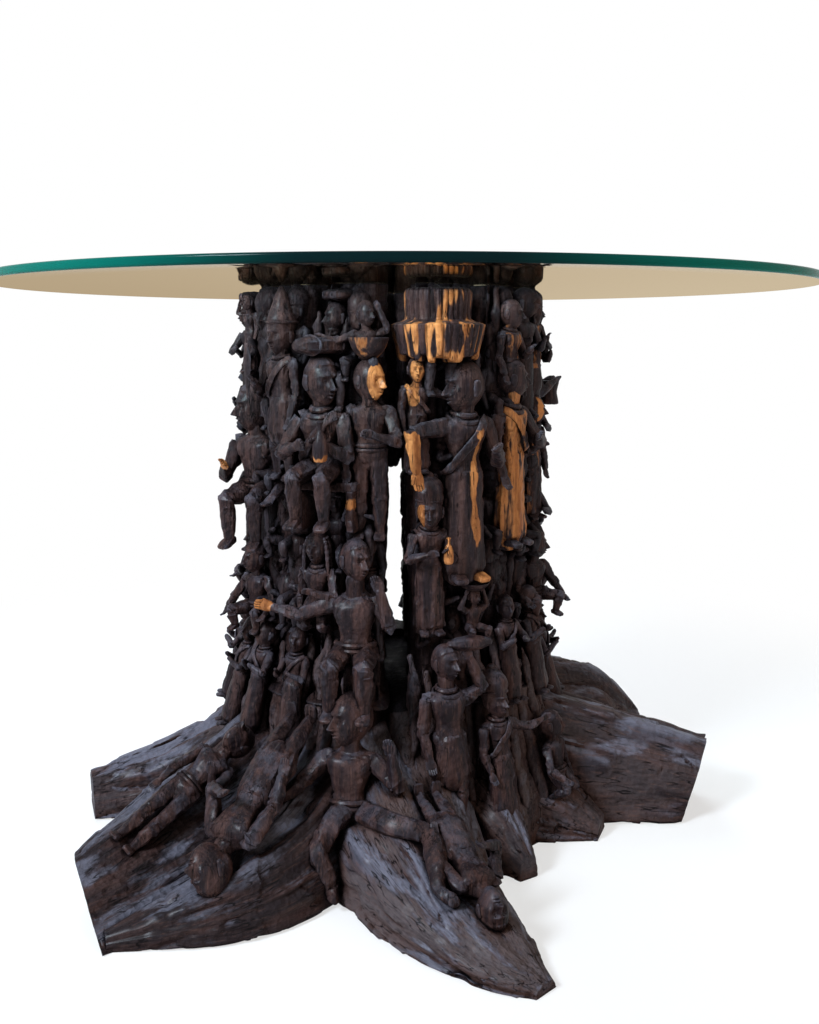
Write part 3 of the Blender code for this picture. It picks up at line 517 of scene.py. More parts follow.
# Stool: its angle, its seat and one board leg as tubes with squared sections, and the places of the
# legs
STOOL_ANGLE = -22.0
STOOL_SEAT = ((-0.040, -0.010, 0.493, 0.0215, 0.0066), (0.0, -0.010, 0.4925, 0.0215, 0.0062),
              (0.040, -0.010, 0.493, 0.0215, 0.0066))
STOOL_LEG = ((1.0, -0.010, 0.438, 0.0056, 0.020), (0.97, -0.010, 0.462, 0.0052, 0.019),
             (1.0, -0.010, 0.487, 0.0056, 0.020))
STOOL_LEG_X = 0.036
STOOL_BOX = 6.0

# Lights: name, place, width, power and tint; the point they look at, and the one that shows in mirrors
LAMPS = (
    ("key_light", (-1.9, -2.0, 2.2), 0.8, 165.0, "cool"),
    ("fill_light", (2.3, -1.9, 1.3), 1.2, 30.0, "warm"),
    ("top_light", (-0.6, 1.9, 2.3), 1.8, 80.0, "cool"),
)
LAMP_TARGET = (0.0, 0.0, 0.36)
MIRRORED_LAMP = "key_light"

# Camera: place, degrees it looks down, focal length and sensor width in millimetres
CAMERA_AT = (0.0072, -1.485, 0.680)
CAMERA_DOWN = 9.754
CAMERA_LENS = 36.45
CAMERA_SENSOR = 36.0

# Floor and surroundings: half the floor's width, their colour, and the light the surroundings give
FLOOR_REACH = 40.0
WHITE = (1.0, 1.0, 1.0, 1.0)
WORLD_LIGHT = 0.12


def size_setting(name, description, default):
    """Size that a user may change."""
    return bpy.props.FloatProperty(name=name, description=description, default=default, unit="LENGTH")


def colour_setting(name, description, default):
    """Colour that a user may change."""
    return bpy.props.FloatVectorProperty(name=name, description=description, default=default,
                                         subtype="COLOR")


class TableSizes(bpy.types.PropertyGroup):
    """Driving sizes of the looks."""

    glass_radius: size_setting("Glass radius", "Radius of the glass top", 0.550)
    glass_thick: size_setting("Glass thickness", "Thickness of the glass top", 0.010)
    glass_under: size_setting("Glass underside", "Height of the glass's underside", 0.742)
    glass_round: size_setting("Glass edge", "Rounding of the glass's edge", 0.003)
    pad_radius: size_setting("Pad radius", "Radius of a clear pad", 0.011)
    pad_thick: size_setting("Pad thickness", "Thickness of a clear pad", 0.0024)
    trunk_x: size_setting("Trunk place", "Sideways place of the trunk's axis", -0.018)
    post_outer: size_setting("Upright outer", "Outer radius of the uprights", 0.192)
    post_inner: size_setting("Upright inner", "Inner radius of the uprights", 0.112)
    post_top: size_setting("Upright top", "Height of the uprights", 0.7413)
    stump_top: size_setting("Stump top", "Height of the stump's heart", 0.205)
    knife_cut: size_setting("Knife cut", "Depth of the knife cuts on people", 0.0036)
    knife_pitch: size_setting("Knife pitch", "Width of one knife cut", 0.0105)
    post_recess: size_setting(
        "Upright recess", "How far the uprights lie back behind their people", 0.012)
    gouge: size_setting("Gouge", "Depth of the gouges in the uprights", 0.024)
    root_groove: size_setting("Root groove", "Depth of the grooves along the roots", 0.0035)


class TableColours(bpy.types.PropertyGroup):
    """Colours of the looks, linear."""

    heart: colour_setting("Heartwood", "Darkest wood", (0.011, 0.0068, 0.0085))
    brown: colour_setting("Brown wood", "Brown streaks", (0.062, 0.030, 0.025))
    dust: colour_setting("Dust", "Dust in the hollows", (0.096, 0.052, 0.042))
    weathered: colour_setting("Weathered wood", "Grey brown of bare roots", (0.098, 0.079, 0.081))
    deep: colour_setting("Deep hollows", "Wood in deep shade", (0.002, 0.0015, 0.002))
    pale: colour_setting("Sapwood", "Pale orange sapwood", (0.450, 0.178, 0.058))
    pale_dark: colour_setting("Sapwood streaks", "Darker streaks of the sapwood", (0.190, 0.064, 0.020))
    # Colour of worn edges, and of the grey bloom with painted sky sheen on upper faces
    worn: colour_setting("Worn tops", "Grey bloom on upper faces", (0.122, 0.120, 0.152))
    sawn: colour_setting("Sawn ends", "Sawn end grain", (0.135, 0.112, 0.105))
    glass: colour_setting("Glass", "Tint of the glass", (0.90, 0.97, 0.95))
    glass_edge: colour_setting("Glass edge", "Green of the glass's edge", (0.000, 0.100, 0.074))
    # Painted darkening in the middle of the glass's edge, where the dark trunk would show through it
    glass_edge_dark: colour_setting(
        "Glass edge middle", "Darker green in the middle of the edge", (0.0006, 0.009, 0.010))
    # Painted reflection of a warm room in the glass at a flat angle, lighter to the right
    glass_sheen_left: colour_setting(
        "Glass sheen left", "Warm mirror tint at a flat angle, on the left", (0.47, 0.365, 0.230))
    glass_sheen_right: colour_setting(
        "Glass sheen right", "Warm mirror tint at a flat angle, on the right", (0.60, 0.490, 0.335))
    floor: colour_setting("Floor", "Floor and backdrop", (0.90, 0.90, 0.90))
    warm: colour_setting("Warm light", "Light from the right", (1.00, 0.80, 0.62))
    cool: colour_setting("Cool light", "Light from the left and behind", (0.78, 0.88, 1.00))


# Arrays

HASH_AXES = np.array((12.9898, 78.233, 37.719))
HASH_SCALE = 43758.5453
CUBE = np.stack(np.meshgrid((0, 1), (0, 1), (0, 1), indexing="ij"), -1).reshape(-1, 3)
BLOCK = np.stack(np.meshgrid((-1, 0, 1), (-1, 0, 1), (-1, 0, 1), indexing="ij"), -1).reshape(-1, 3)

# How far the rounded end of a tube closes, where 1 is a point
CAP_CLOSE = 0.94


def scatter(cells, salt):
    """Random number from 0 to 1 for each lattice cell: the far digits of a sine."""
    mixed = np.sin(cells @ HASH_AXES + salt) * HASH_SCALE
    return mixed - np.floor(mixed)


def noise(points, pitch, salt=0.0):
    """Smooth noise from -1 to 1: random numbers on a lattice, eased in between."""
    spots = np.asarray(points) / pitch
    cell = np.floor(spots)
    part = spots - cell
    part = part * part * (3.0 - 2.0 * part)
    total = np.zeros(spots.shape[:-1])
    for corner in CUBE:
        weight = np.prod(np.where(corner, part, 1.0 - part), axis=-1)
        total += weight * scatter(cell + corner, salt)
    return 2.0 * total - 1.0


def facets(points, pitch, salt=0.0):
    """Knife facets: the nearest of scattered centres sets a flat cut with its own tilt."""
    spots = np.asarray(points) / pitch
    cell = np.floor(spots)
    best = np.full(spots.shape[:-1], 9.0)
    cut = np.zeros(spots.shape[:-1])
    for step in BLOCK:
        home = cell + step
        gap = spots - home - np.stack([scatter(home, salt + k) for k in (1.0, 2.0, 3.0)], -1)
        far = np.sum(gap * gap, axis=-1)
        tilt = np.stack([scatter(home, salt + k) for k in (4.0, 5.0, 6.0)], -1) - 0.5
        closer = far < best
        best = np.where(closer, far, best)
        cut = np.where(closer, np.sum(gap * tilt, axis=-1), cut)
    return cut


def cuts(grid, depth, width, salt):
    """Knife facets of a depth and width."""
    return depth * facets(grid, width, salt)


def lumps(grid, depth, width, salt):
    """Smooth noise of a depth and width."""
    return depth * noise(grid, width, salt)


def unit(vectors):
    """Vectors brought to length one."""
    vectors = np.asarray(vectors, float)
    return vectors / np.maximum(np.linalg.norm(vectors, axis=-1, keepdims=True), 1e-9)


def ease(values, low, high):
    """Smooth step from 0 at low to 1 at high."""
    share = np.clip((np.asarray(values) - low) / (high - low), 0.0, 1.0)
    return share * share * (3.0 - 2.0 * share)


def spline(knots, steps, closed=False):
    """Smooth curve through knots: each span is the cubic that leaves a knot along the line
    between its two neighbours."""
    knots = np.asarray(knots, float)
    count = len(knots)
    spans = count if closed else count - 1
    place = np.linspace(0.0, spans, steps, endpoint=not closed)
    span = np.minimum(place.astype(int), spans - 1)
    t = (place - span).reshape((-1,) + (1,) * (knots.ndim - 1))
    fix = (lambda k: k % count) if closed else (lambda k: np.clip(k, 0, count - 1))
    a, b, c, d = (knots[fix(span + k)] for k in (-1, 0, 1, 2))
    return b + 0.5 * t * (c - a + t * (2 * a - 5 * b + 4 * c - d + t * (3 * b - a - 3 * c + d)))


def circle(count):
    """Angles of points spread evenly round a circle."""
    return np.linspace(0.0, 2.0 * math.pi, count, endpoint=False)


def normals(grid, ring=False):
    """Outward unit normals of a grid that closes on itself across its columns, and along its
    rows too if it is a ring."""
    across = np.roll(grid, -1, 1) - np.roll(grid, 1, 1)
    along = np.roll(grid, -1, 0) - np.roll(grid, 1, 0) if ring else np.gradient(grid, axis=0)
    return unit(np.cross(across, along))


def pushed(grid, push, ring=False):
    """Grid moved along its normals."""
    return grid + normals(grid, ring) * push[..., None]


def drawn_out(grid, share):
    """Grid with its Z shrunk, so that noise taken on it is drawn out along Z."""
    return grid * (1.0, 1.0, share)


def tube(knots, facing, steps, sides, swell=1.0, box=2.0, caps=4):
    """Limb: an oval carried along a smooth line with rounded ends. Knots are x, y, z, half width
    and half depth, facing is the way the depth points, box squares the oval, and swell is a
    factor for each point round it."""
    line = spline(knots, steps)
    centre = line[:, :3]
    along = unit(np.gradient(centre, axis=0))
    wide, deep = line[:, 3], line[:, 4]
    bend = np.linspace(0.5 * math.pi, 0.0, caps, endpoint=False)[:, None] * CAP_CLOSE
    first, last = min(wide[0], deep[0]), min(wide[-1], deep[-1])
    centre = np.concatenate((centre[:1] - along[:1] * first * np.sin(bend), centre,
                             centre[-1:] + along[-1:] * last * np.sin(bend[::-1])))
    shrink = np.concatenate((np.cos(bend[:, 0]), np.ones(steps), np.cos(bend[::-1, 0])))
    grow = np.concatenate((np.zeros(caps, int), np.arange(steps), np.full(caps, steps - 1)))
    along, wide, deep = along[grow], wide[grow] * shrink, deep[grow] * shrink
    facing = np.asarray(facing, float)
    up = unit(facing - along * (along @ facing)[:, None])
    side = np.cross(up, along)
    turn = circle(sides)
    power = 2.0 / box
    cos = np.sign(np.cos(turn)) * np.abs(np.cos(turn)) ** power
    sin = np.sign(np.sin(turn)) * np.abs(np.sin(turn)) ** power
    swell = np.broadcast_to(swell, (steps, sides))[grow]
    across = (wide[:, None] * cos * swell)[..., None] * side[:, None]
    return centre[:, None] + across + (deep[:, None] * sin * swell)[..., None] * up[:, None]


def turned(profile, sides, steps=0):
    """Turned body: a profile of radius and height, bottom centre first, spun round Z."""
    profile = np.asarray(profile, float) if steps == 0 else spline(profile, steps)
    turn = circle(sides)
    return np.stack((profile[:, :1] * np.cos(turn), profile[:, :1] * np.sin(turn),
                     np.repeat(profile[:, 1:2], sides, 1)), -1)


def hoop(middle, half_wide, half_deep, thick, steps, sides, tilt=0.0):
    """Ring round the body: a small circle carried round a flat oval, tipped forward by tilt."""
    turn = circle(steps)[:, None]
    small = circle(sides)[None]
    reach = thick * np.cos(small)
    x = (half_wide + reach) * np.cos(turn)
    y = (half_deep + reach) * np.sin(turn)
    z = thick * np.sin(small) + tilt * y
    return np.stack((x, y, z), -1) + np.asarray(middle)


def spun(grid, degrees):
    """Grid turned about Z."""
    cos, sin = math.cos(math.radians(degrees)), math.sin(math.radians(degrees))
    x, y, z = (grid[..., k] for k in range(3))
    return np.stack((x * cos - y * sin, x * sin + y * cos, z), -1)


def tipped(grid, degrees):
    """Grid tipped back about X, so that what faces -Y looks up."""
    cos, sin = math.cos(math.radians(degrees)), math.sin(math.radians(degrees))
    x, y, z = (grid[..., k] for k in range(3))
    return np.stack((x, y * cos + z * sin, z * cos - y * sin), -1)


def placed(grid, matrix, size):
    """Grid in figure heights brought to its place in the table."""
    matrix = np.array(matrix)
    return (grid * size) @ matrix[:3, :3].T + matrix[:3, 3]


def spot(sizes, angle, radius, height):
    """Point at an angle from the front, a distance from the trunk's axis and a height."""
    turn = math.radians(angle)
    return Vector((sizes.trunk_x + radius * math.sin(turn), -radius * math.cos(turn), height))


def round_trunk(sizes, turn, radius, height):
    """Grid of points at turns from the front, distances from the trunk's axis and heights."""
    return np.stack((sizes.trunk_x + radius * np.sin(turn), -radius * np.cos(turn), height), -1)


class Carving:
    """Closed surfaces gathered into one piece, with what its wood is like at each point."""

    def __init__(self):
        self.points = []
        self.corners = []
        self.counts = []
        self.pale = []
        self.sawn = []
        self.flow = []
        self.total = 0

    def add(self, grid, pale=0.0, sawn=0.0, flow=None, ring=False):
        """Add a grid that closes across its columns, and along its rows or by a point at each end."""
        rows, cols = grid.shape[:2]
        index = self.total + np.arange(rows * cols).reshape(rows, cols)
        after = np.roll(index, -1, 1)
        if ring:
            quads = np.stack((index, after, np.roll(after, -1, 0), np.roll(index, -1, 0)), -1)
        else:
            quads = np.stack((index[:-1], after[:-1], after[1:], index[1:]), -1)
        quads = quads.reshape(-1, 4)
        points = grid.reshape(-1, 3)
        pale, sawn = (np.broadcast_to(value, (rows, cols)).ravel() for value in (pale, sawn))
        flow = points if flow is None else flow.reshape(-1, 3)
        self.corners.append(quads.ravel())
        self.counts.append(np.full(len(quads), 4))
        if not ring:
            foot = self.total + rows * cols
            low = np.stack((after[0], index[0], np.full(cols, foot)), -1)
            high = np.stack((index[-1], after[-1], np.full(cols, foot + 1)), -1)
            self.corners += [low.ravel(), high.ravel()]
            self.counts.append(np.full(2 * cols, 3))
            points = np.concatenate((points, grid[0].mean(0)[None], grid[-1].mean(0)[None]))
            pale, sawn = (np.concatenate((value, value[:1], value[-1:])) for value in (pale, sawn))
            flow = np.concatenate((flow, flow[:cols].mean(0)[None], flow[-cols:].mean(0)[None]))
        self.points.append(points)
        self.pale.append(pale)
        self.sawn.append(sawn)
        self.flow.append(flow)
        self.total += len(points)

    def finish(self, name, looks, body, nodes=(), sharp=None, picks=None):
        """Make the piece, give it its materials, tie it to its CAD body and hide the CAD nodes it stands
        for.
        """
        points = np.concatenate(self.points)
        corners = np.concatenate(self.corners)
        counts = np.concatenate(self.counts)
        mesh = bpy.data.meshes.new(name)
        mesh.vertices.add(len(points))
        mesh.vertices.foreach_set("co", points.astype(np.float32).ravel())
        mesh.loops.add(len(corners))
        mesh.loops.foreach_set("vertex_index", corners.astype(np.int32))
        mesh.polygons.add(len(counts))
        mesh.polygons.foreach_set("loop_start", (np.cumsum(counts) - counts).astype(np.int32))
        if picks is not None:
            mesh.polygons.foreach_set("material_index", picks.astype(np.int32))
        mesh.update(calc_edges=True)
        # Pale is sapwood above 0; far below 0 it darkens the wood: painted shade on the stump, black
        # stripes on the basket
        for label, values in (("pale", self.pale), ("sawn", self.sawn)):
            made = mesh.attributes.new(label, "FLOAT", "POINT")
            made.data.foreach_set("value", np.concatenate(values).astype(np.float32))
        made = mesh.attributes.new("flow", "FLOAT_VECTOR", "POINT")
        made.data.foreach_set("vector", np.concatenate(self.flow).astype(np.float32).ravel())
        mesh.shade_smooth()
        if sharp is not None:
            mesh.set_sharp_from_angle(angle=math.radians(sharp))
        for look in looks:
            mesh.materials.append(look)
        piece = bpy.data.objects.new(name, mesh)
        bpy.context.scene.collection.objects.link(piece)
        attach(piece, body)
        if nodes:
            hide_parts(*nodes)
        return piece


# Materials

def node(tree, kind, inputs=None, **settings):
    """New node with its settings, and its inputs as constants or links."""
    made = tree.nodes.new(kind)
    for key, value in settings.items():
        setattr(made, key, value)
    for key, value in (inputs or {}).items():
        if isinstance(value, bpy.types.NodeSocket):
            tree.links.new(value, made.inputs[key])
        else:
            made.inputs[key].default_value = value
    return made


def maths(tree, operation, one, two=0.0):
    """Result of a sum on two values."""
    return node(tree, "ShaderNodeMath", {0: one, 1: two}, operation=operation).outputs[0]


def times(tree, one, two):
    """Product of two values."""
    return maths(tree, "MULTIPLY", one, two)


def plus(tree, one, two):
    """Sum of two values."""
    return maths(tree, "ADD", one, two)


def ramp(tree, value, low, high):
    """Value eased from 0 at low to 1 at high."""
    made = node(tree, "ShaderNodeMapRange", {"Value": value, "From Min": low, "From Max": high},
                interpolation_type="SMOOTHSTEP")
    return made.outputs["Result"]


def blend(tree, factor, one, two):
    """Colour one, passing to colour two by a factor."""
    return node(tree, "ShaderNodeMix", {0: factor, 6: one, 7: two}, data_type="RGBA").outputs[2]


def length(tree, vector):
    """Length of a vector."""
    return node(tree, "ShaderNodeVectorMath", {0: vector}, operation="LENGTH").outputs["Value"]


def stretched(tree, vector, scale, detail=5.0, rough=0.55):
    """Noise value from 0 to 1 on a stretched vector."""
    moved = node(tree, "ShaderNodeMapping", {"Vector": vector, "Scale": scale})
    made = node(tree, "ShaderNodeTexNoise", {"Vector": moved.outputs[0], "Scale": 1.0, "Detail": detail,
                                             "Roughness": rough})
    return made.outputs["Fac"]


def object_place(tree):
    """Place on the piece."""
    return node(tree, "ShaderNodeTexCoord").outputs["Object"]


def seen_rays(tree):
    """1 for what the eye sees, straight, mirrored or through glass, and 0 for what only gives light."""
    path = node(tree, "ShaderNodeLightPath")
    other = maths(tree, "MAXIMUM", path.outputs["Is Glossy Ray"], path.outputs["Is Transmission Ray"])
    return maths(tree, "MAXIMUM", path.outputs["Is Camera Ray"], other)


def mixed_surface(tree, share, one, two):
    """Shader one, passing to shader two by a share, as the material's surface."""
    both = node(tree, "ShaderNodeMixShader", {0: share, 1: one, 2: two})
    tree.links.new(both.outputs[0], tree.nodes["Material Output"].inputs["Surface"])


def rgb(colour):
    """Colour property as the four numbers of a socket."""
    return (colour[0], colour[1], colour[2], 1.0)


def principled(name, values):
    """New material, its node tree and its principled shader with inputs set to values."""
    look = bpy.data.materials.new(name)
    look.use_nodes = True
    tree = look.node_tree
    shader = tree.nodes["Principled BSDF"]
    for key, value in values.items():
        shader.inputs[key].default_value = value
    return look, tree, shader


def wood_group(colours):
    """Shader node group for carved blackwood: colour, roughness, coat and bump height."""
    tree = bpy.data.node_groups.new("Carved blackwood", "ShaderNodeTree")
    for name in WOOD_INPUTS:
        tree.interface.new_socket(name, in_out="INPUT", socket_type="NodeSocketFloat")
    tree.interface.new_socket("Color", in_out="OUTPUT", socket_type="NodeSocketColor")
    for name in ("Roughness", "Coat", "Height"):
        tree.interface.new_socket(name, in_out="OUTPUT", socket_type="NodeSocketFloat")
    given = node(tree, "NodeGroupInput").outputs
    heart, brown, dust = rgb(colours.heart), rgb(colours.brown), rgb(colours.dust)
    deep, worn = rgb(colours.deep), rgb(colours.worn)

    # What the wood is like at each point
    flow = node(tree, "ShaderNodeAttribute", attribute_name="flow").outputs["Vector"]
    pale = node(tree, "ShaderNodeAttribute", attribute_name="pale").outputs["Fac"]
    sawn = node(tree, "ShaderNodeAttribute", attribute_name="sawn").outputs["Fac"]
    place = object_place(tree)
    geometry = node(tree, "ShaderNodeNewGeometry")
    facing = node(tree, "ShaderNodeSeparateXYZ", {0: geometry.outputs["Normal"]}).outputs["Z"]
    edge = ramp(tree, geometry.outputs["Pointiness"], 0.520, 0.600)
    # Ambient occlusion at two reaches: it sets the dust, the coat and where sapwood shows, and paints
    # shade into hollows and small creases
    hollow = node(tree, "ShaderNodeAmbientOcclusion", {"Distance": 0.032}, samples=6).outputs["AO"]
    cut = node(tree, "ShaderNodeAmbientOcclusion", {"Distance": 0.006}, samples=5).outputs["AO"]

    # Grain, streaks, blotches, specks, weathering, fine cracks along the grain and knife marks
    grain = stretched(tree, flow, (420.0, 420.0, 34.0))
    streak = stretched(tree, flow, (70.0, 70.0, 7.0))
    blotch = stretched(tree, place, (26.0, 26.0, 26.0), 3.0)
    speck = stretched(tree, place, (330.0, 330.0, 330.0), 2.0)
    weather = stretched(tree, flow, (22.0, 22.0, 7.0), 6.0, 0.62)
    check = stretched(tree, flow, (110.0, 110.0, 5.0), 2.0)
    check = ramp(tree, maths(tree, "ABSOLUTE", maths(tree, "SUBTRACT", check, 0.5)), 0.020, 0.005)
    check = times(tree, check, ramp(tree, blotch, 0.44, 0.58))
    knife = node(tree, "ShaderNodeTexVoronoi", {"Vector": place, "Scale": 125.0}).outputs["Distance"]

    # Heartwood with brown streaks, dust, grey bloom with painted sky sheen on upper faces, and rubbed
    # edges
    colour = blend(tree, times(tree, ramp(tree, streak, 0.42, 0.68), 0.80), heart, brown)
    settled = times(tree, ramp(tree, weather, 0.58, 0.42), given["Dusting"])
    in_hollows = times(tree, ramp(tree, hollow, 0.92, 0.50), ramp(tree, blotch, 0.22, 0.50))
    in_hollows = times(tree, in_hollows, ramp(tree, given["Dusting"], -0.30, 0.60))
    dusty = maths(tree, "MAXIMUM", in_hollows, settled)
    colour = blend(tree, settled, colour, rgb(colours.weathered))
    colour = blend(tree, in_hollows, colour, dust)
    # Painted sky sheen, with grey bloom: faces are lightened more the further they look up
    upward = times(tree, ramp(tree, facing, 0.15, 0.80), ramp(tree, weather, 0.47, 0.56))
    colour = blend(tree, times(tree, upward, given["Bloom"]), colour, worn)
    rubbed = times(tree, edge, ramp(tree, blotch, 0.30, 0.60))
    colour = blend(tree, times(tree, rubbed, 0.40), colour, worn)
    colour = blend(tree, times(tree, ramp(tree, grain, 0.46, 0.30), 0.45), colour, dust)

    # Sapwood where the piece is pale
    orange = blend(tree, ramp(tree, streak, 0.40, 0.66), rgb(colours.pale), rgb(colours.pale_dark))
    amount = plus(tree, pale, given["Sapwood"])
    patch = plus(tree, amount, times(tree, maths(tree, "SUBTRACT", streak, 0.5), 1.5))
    shown = times(tree, ramp(tree, patch, 0.50, 0.66), ramp(tree, amount, 0.02, 0.25))
    # Sapwood is held back where occlusion is deep, so that painted shade shows there
    shown = times(tree, shown, ramp(tree, hollow, 0.30, 0.75))
    colour = blend(tree, shown, colour, orange)

    # Year rings on sawn ends
    rings = maths(tree, "SINE", times(tree, length(tree, flow), 900.0))
    end = blend(tree, ramp(tree, rings, -1.0, 1.0), rgb(colours.sawn), dust)
    end = blend(tree, ramp(tree, blotch, 0.46, 0.70), end, brown)
    colour = blend(tree, sawn, colour, end)

    # Dark grain and cracks, painted shade in hollows and small creases from ambient occlusion, and
    # painted deep shade
    colour = blend(tree, times(tree, ramp(tree, grain, 0.50, 0.75), 0.45), colour, heart)
    colour = blend(tree, times(tree, ramp(tree, hollow, 0.78, 0.26), 0.94), colour, deep)
    colour = blend(tree, times(tree, ramp(tree, cut, 0.80, 0.35), 0.80), colour, deep)
    colour = blend(tree, times(tree, check, 0.85), colour, deep)
    # Painted deep shade: the Shade input darkens whole pieces, and negative pale darkens the stump's
    # hollow and top
    shade = times(tree, ramp(tree, pale, -1.0, -1.8), 0.9)
    colour = blend(tree, maths(tree, "MAXIMUM", given["Shade"], shade), colour, deep)

    rough = plus(tree, 0.42, times(tree, blotch, 0.16))
    rough = plus(tree, rough, times(tree, dusty, 0.30))
    shine = times(tree, ramp(tree, hollow, 0.55, 0.95), 0.15)
    shine = times(tree, shine, maths(tree, "SUBTRACT", 1.0, times(tree, dusty, 0.8)))
    height = plus(tree, times(tree, grain, 0.9), times(tree, speck, 0.35))
    height = plus(tree, height, times(tree, streak, 0.6))
    height = plus(tree, height, times(tree, knife, 1.1))
    height = maths(tree, "SUBTRACT", height, times(tree, check, 0.8))
    node(tree, "NodeGroupOutput", {"Color": colour, "Roughness": rough, "Coat": shine, "Height": height})
    return tree


def wood_look(name):
    """Principled material that takes its colour, roughness, coat and bump from the wood group."""
    found = bpy.data.materials.get(name)
    if found:
        return found
    group = bpy.data.node_groups.get("Carved blackwood")
    if group is None:
        group = wood_group(bpy.context.scene.root_table_colours)
    look, tree, shader = principled(name, {"Coat Roughness": 0.30, "Specular IOR Level": 0.02})
    *values, marks = WOODS[name]
    wood = node(tree, "ShaderNodeGroup", node_tree=group)
    for label, value in zip(WOOD_INPUTS, values):
        wood.inputs[label].default_value = value
    bump = node(tree, "ShaderNodeBump", {"Strength": 0.75, "Distance": marks,
                                         "Height": wood.outputs["Height"]})
    tree.links.new(wood.outputs["Color"], shader.inputs["Base Color"])
    tree.links.new(wood.outputs["Roughness"], shader.inputs["Roughness"])
    tree.links.new(bump.outputs["Normal"], shader.inputs["Normal"])
    tree.links.new(wood.outputs["Coat"], shader.inputs["Coat Weight"])
    return look


def pass_light(tree, shown, tint):
    """Show a shader to every ray but those that ask for shadow, which pass on tinted."""
    shadow = node(tree, "ShaderNodeLightPath").outputs["Is Shadow Ray"]
    through = node(tree, "ShaderNodeBsdfTransparent", {"Color": tint})
    mixed_surface(tree, shadow, shown, through.outputs[0])


def glass_looks(colours):
    """Clear glass with a painted warm reflection at flat angles, lighter to the right, and the green of
    its polished edge, painted darker in the middle.
    """
    tint = rgb(colours.glass)
    face, tree, shader = principled("glass_clear", {"IOR": 1.50, "Base Color": tint, "Roughness": 0.02,
                                                    "Transmission Weight": 1.0})
    x = node(tree, "ShaderNodeSeparateXYZ", {0: object_place(tree)}).outputs["X"]
    sheen = blend(tree, ramp(tree, x, -0.55, 0.55), rgb(colours.glass_sheen_left),
                  rgb(colours.glass_sheen_right))
    mirror = node(tree, "ShaderNodeBsdfGlossy", {"Color": sheen, "Roughness": 0.04})
    flat = node(tree, "ShaderNodeLayerWeight", {"Blend": 0.5}).outputs["Facing"]
    front = maths(tree, "SUBTRACT", 1.0, node(tree, "ShaderNodeNewGeometry").outputs["Backfacing"])
    share = times(tree, ramp(tree, flat, 0.78, 0.95), front)
    shown = node(tree, "ShaderNodeMixShader", {0: share, 1: shader.outputs[0], 2: mirror.outputs[0]})
    pass_light(tree, shown.outputs[0], tint)

    rim, tree, shader = principled("glass_rim", {"IOR": 1.50, "Roughness": 0.15,
                                                 "Specular IOR Level": 0.02, "Transmission Weight": 0.05})
    x = node(tree, "ShaderNodeSeparateXYZ", {0: object_place(tree)}).outputs["X"]
    # Edge green, painted darker in the middle where the trunk shows through
    green = blend(tree, ramp(tree, maths(tree, "ABSOLUTE", x), 0.08, 0.34), rgb(colours.glass_edge_dark),
                  rgb(colours.glass_edge))
    tree.links.new(green, shader.inputs["Base Color"])
    pass_light(tree, shader.outputs[0], tint)
    return [face, rim]


def pad_look():
    """Clear soft plastic of the pads."""
    look, tree, shader = principled("clear_plastic", {"Base Color": (0.86, 0.88, 0.87, 1.0),
                                                      "Transmission Weight": 0.7})
    cloud = stretched(tree, object_place(tree), (300.0, 300.0, 300.0), 2.0)
    tree.links.new(plus(tree, 0.18, times(tree, cloud, 0.25)), shader.inputs["Roughness"])
    return look


def floor_look(colours):
    """Floor that looks white all the same, a little less so near the table, where shadows show."""
    look, tree, shader = principled("pale_floor", {"Base Color": rgb(colours.floor), "Roughness": 0.9,
                                                   "Specular IOR Level": 0.0})
    seen = seen_rays(tree)
    far = ramp(tree, length(tree, object_place(tree)), 0.55, 1.5)
    white = node(tree, "ShaderNodeEmission", {"Color": WHITE, "Strength": 1.0})
    own = plus(tree, 0.62, times(tree, far, 0.38))
    mixed_surface(tree, times(tree, seen, own), shader.outputs[0], white.outputs[0])
    return look


def white_world():
    """Surroundings that look white and give a dim, even light."""
    world = bpy.data.worlds.new("white_surroundings")
    world.use_nodes = True
    tree = world.node_tree
    strength = plus(tree, WORLD_LIGHT, times(tree, seen_rays(tree), 1.0 - WORLD_LIGHT))
    tree.links.new(strength, tree.nodes["Background"].inputs["Strength"])
    tree.nodes["Background"].inputs["Color"].default_value = WHITE
    return world


# People

# Part of a person: its grid, how pale its wood is, how deep its knife cuts go, and whether it is a ring
Part = namedtuple("Part", "grid pale depth ring", defaults=(0.0, 1.0, False))


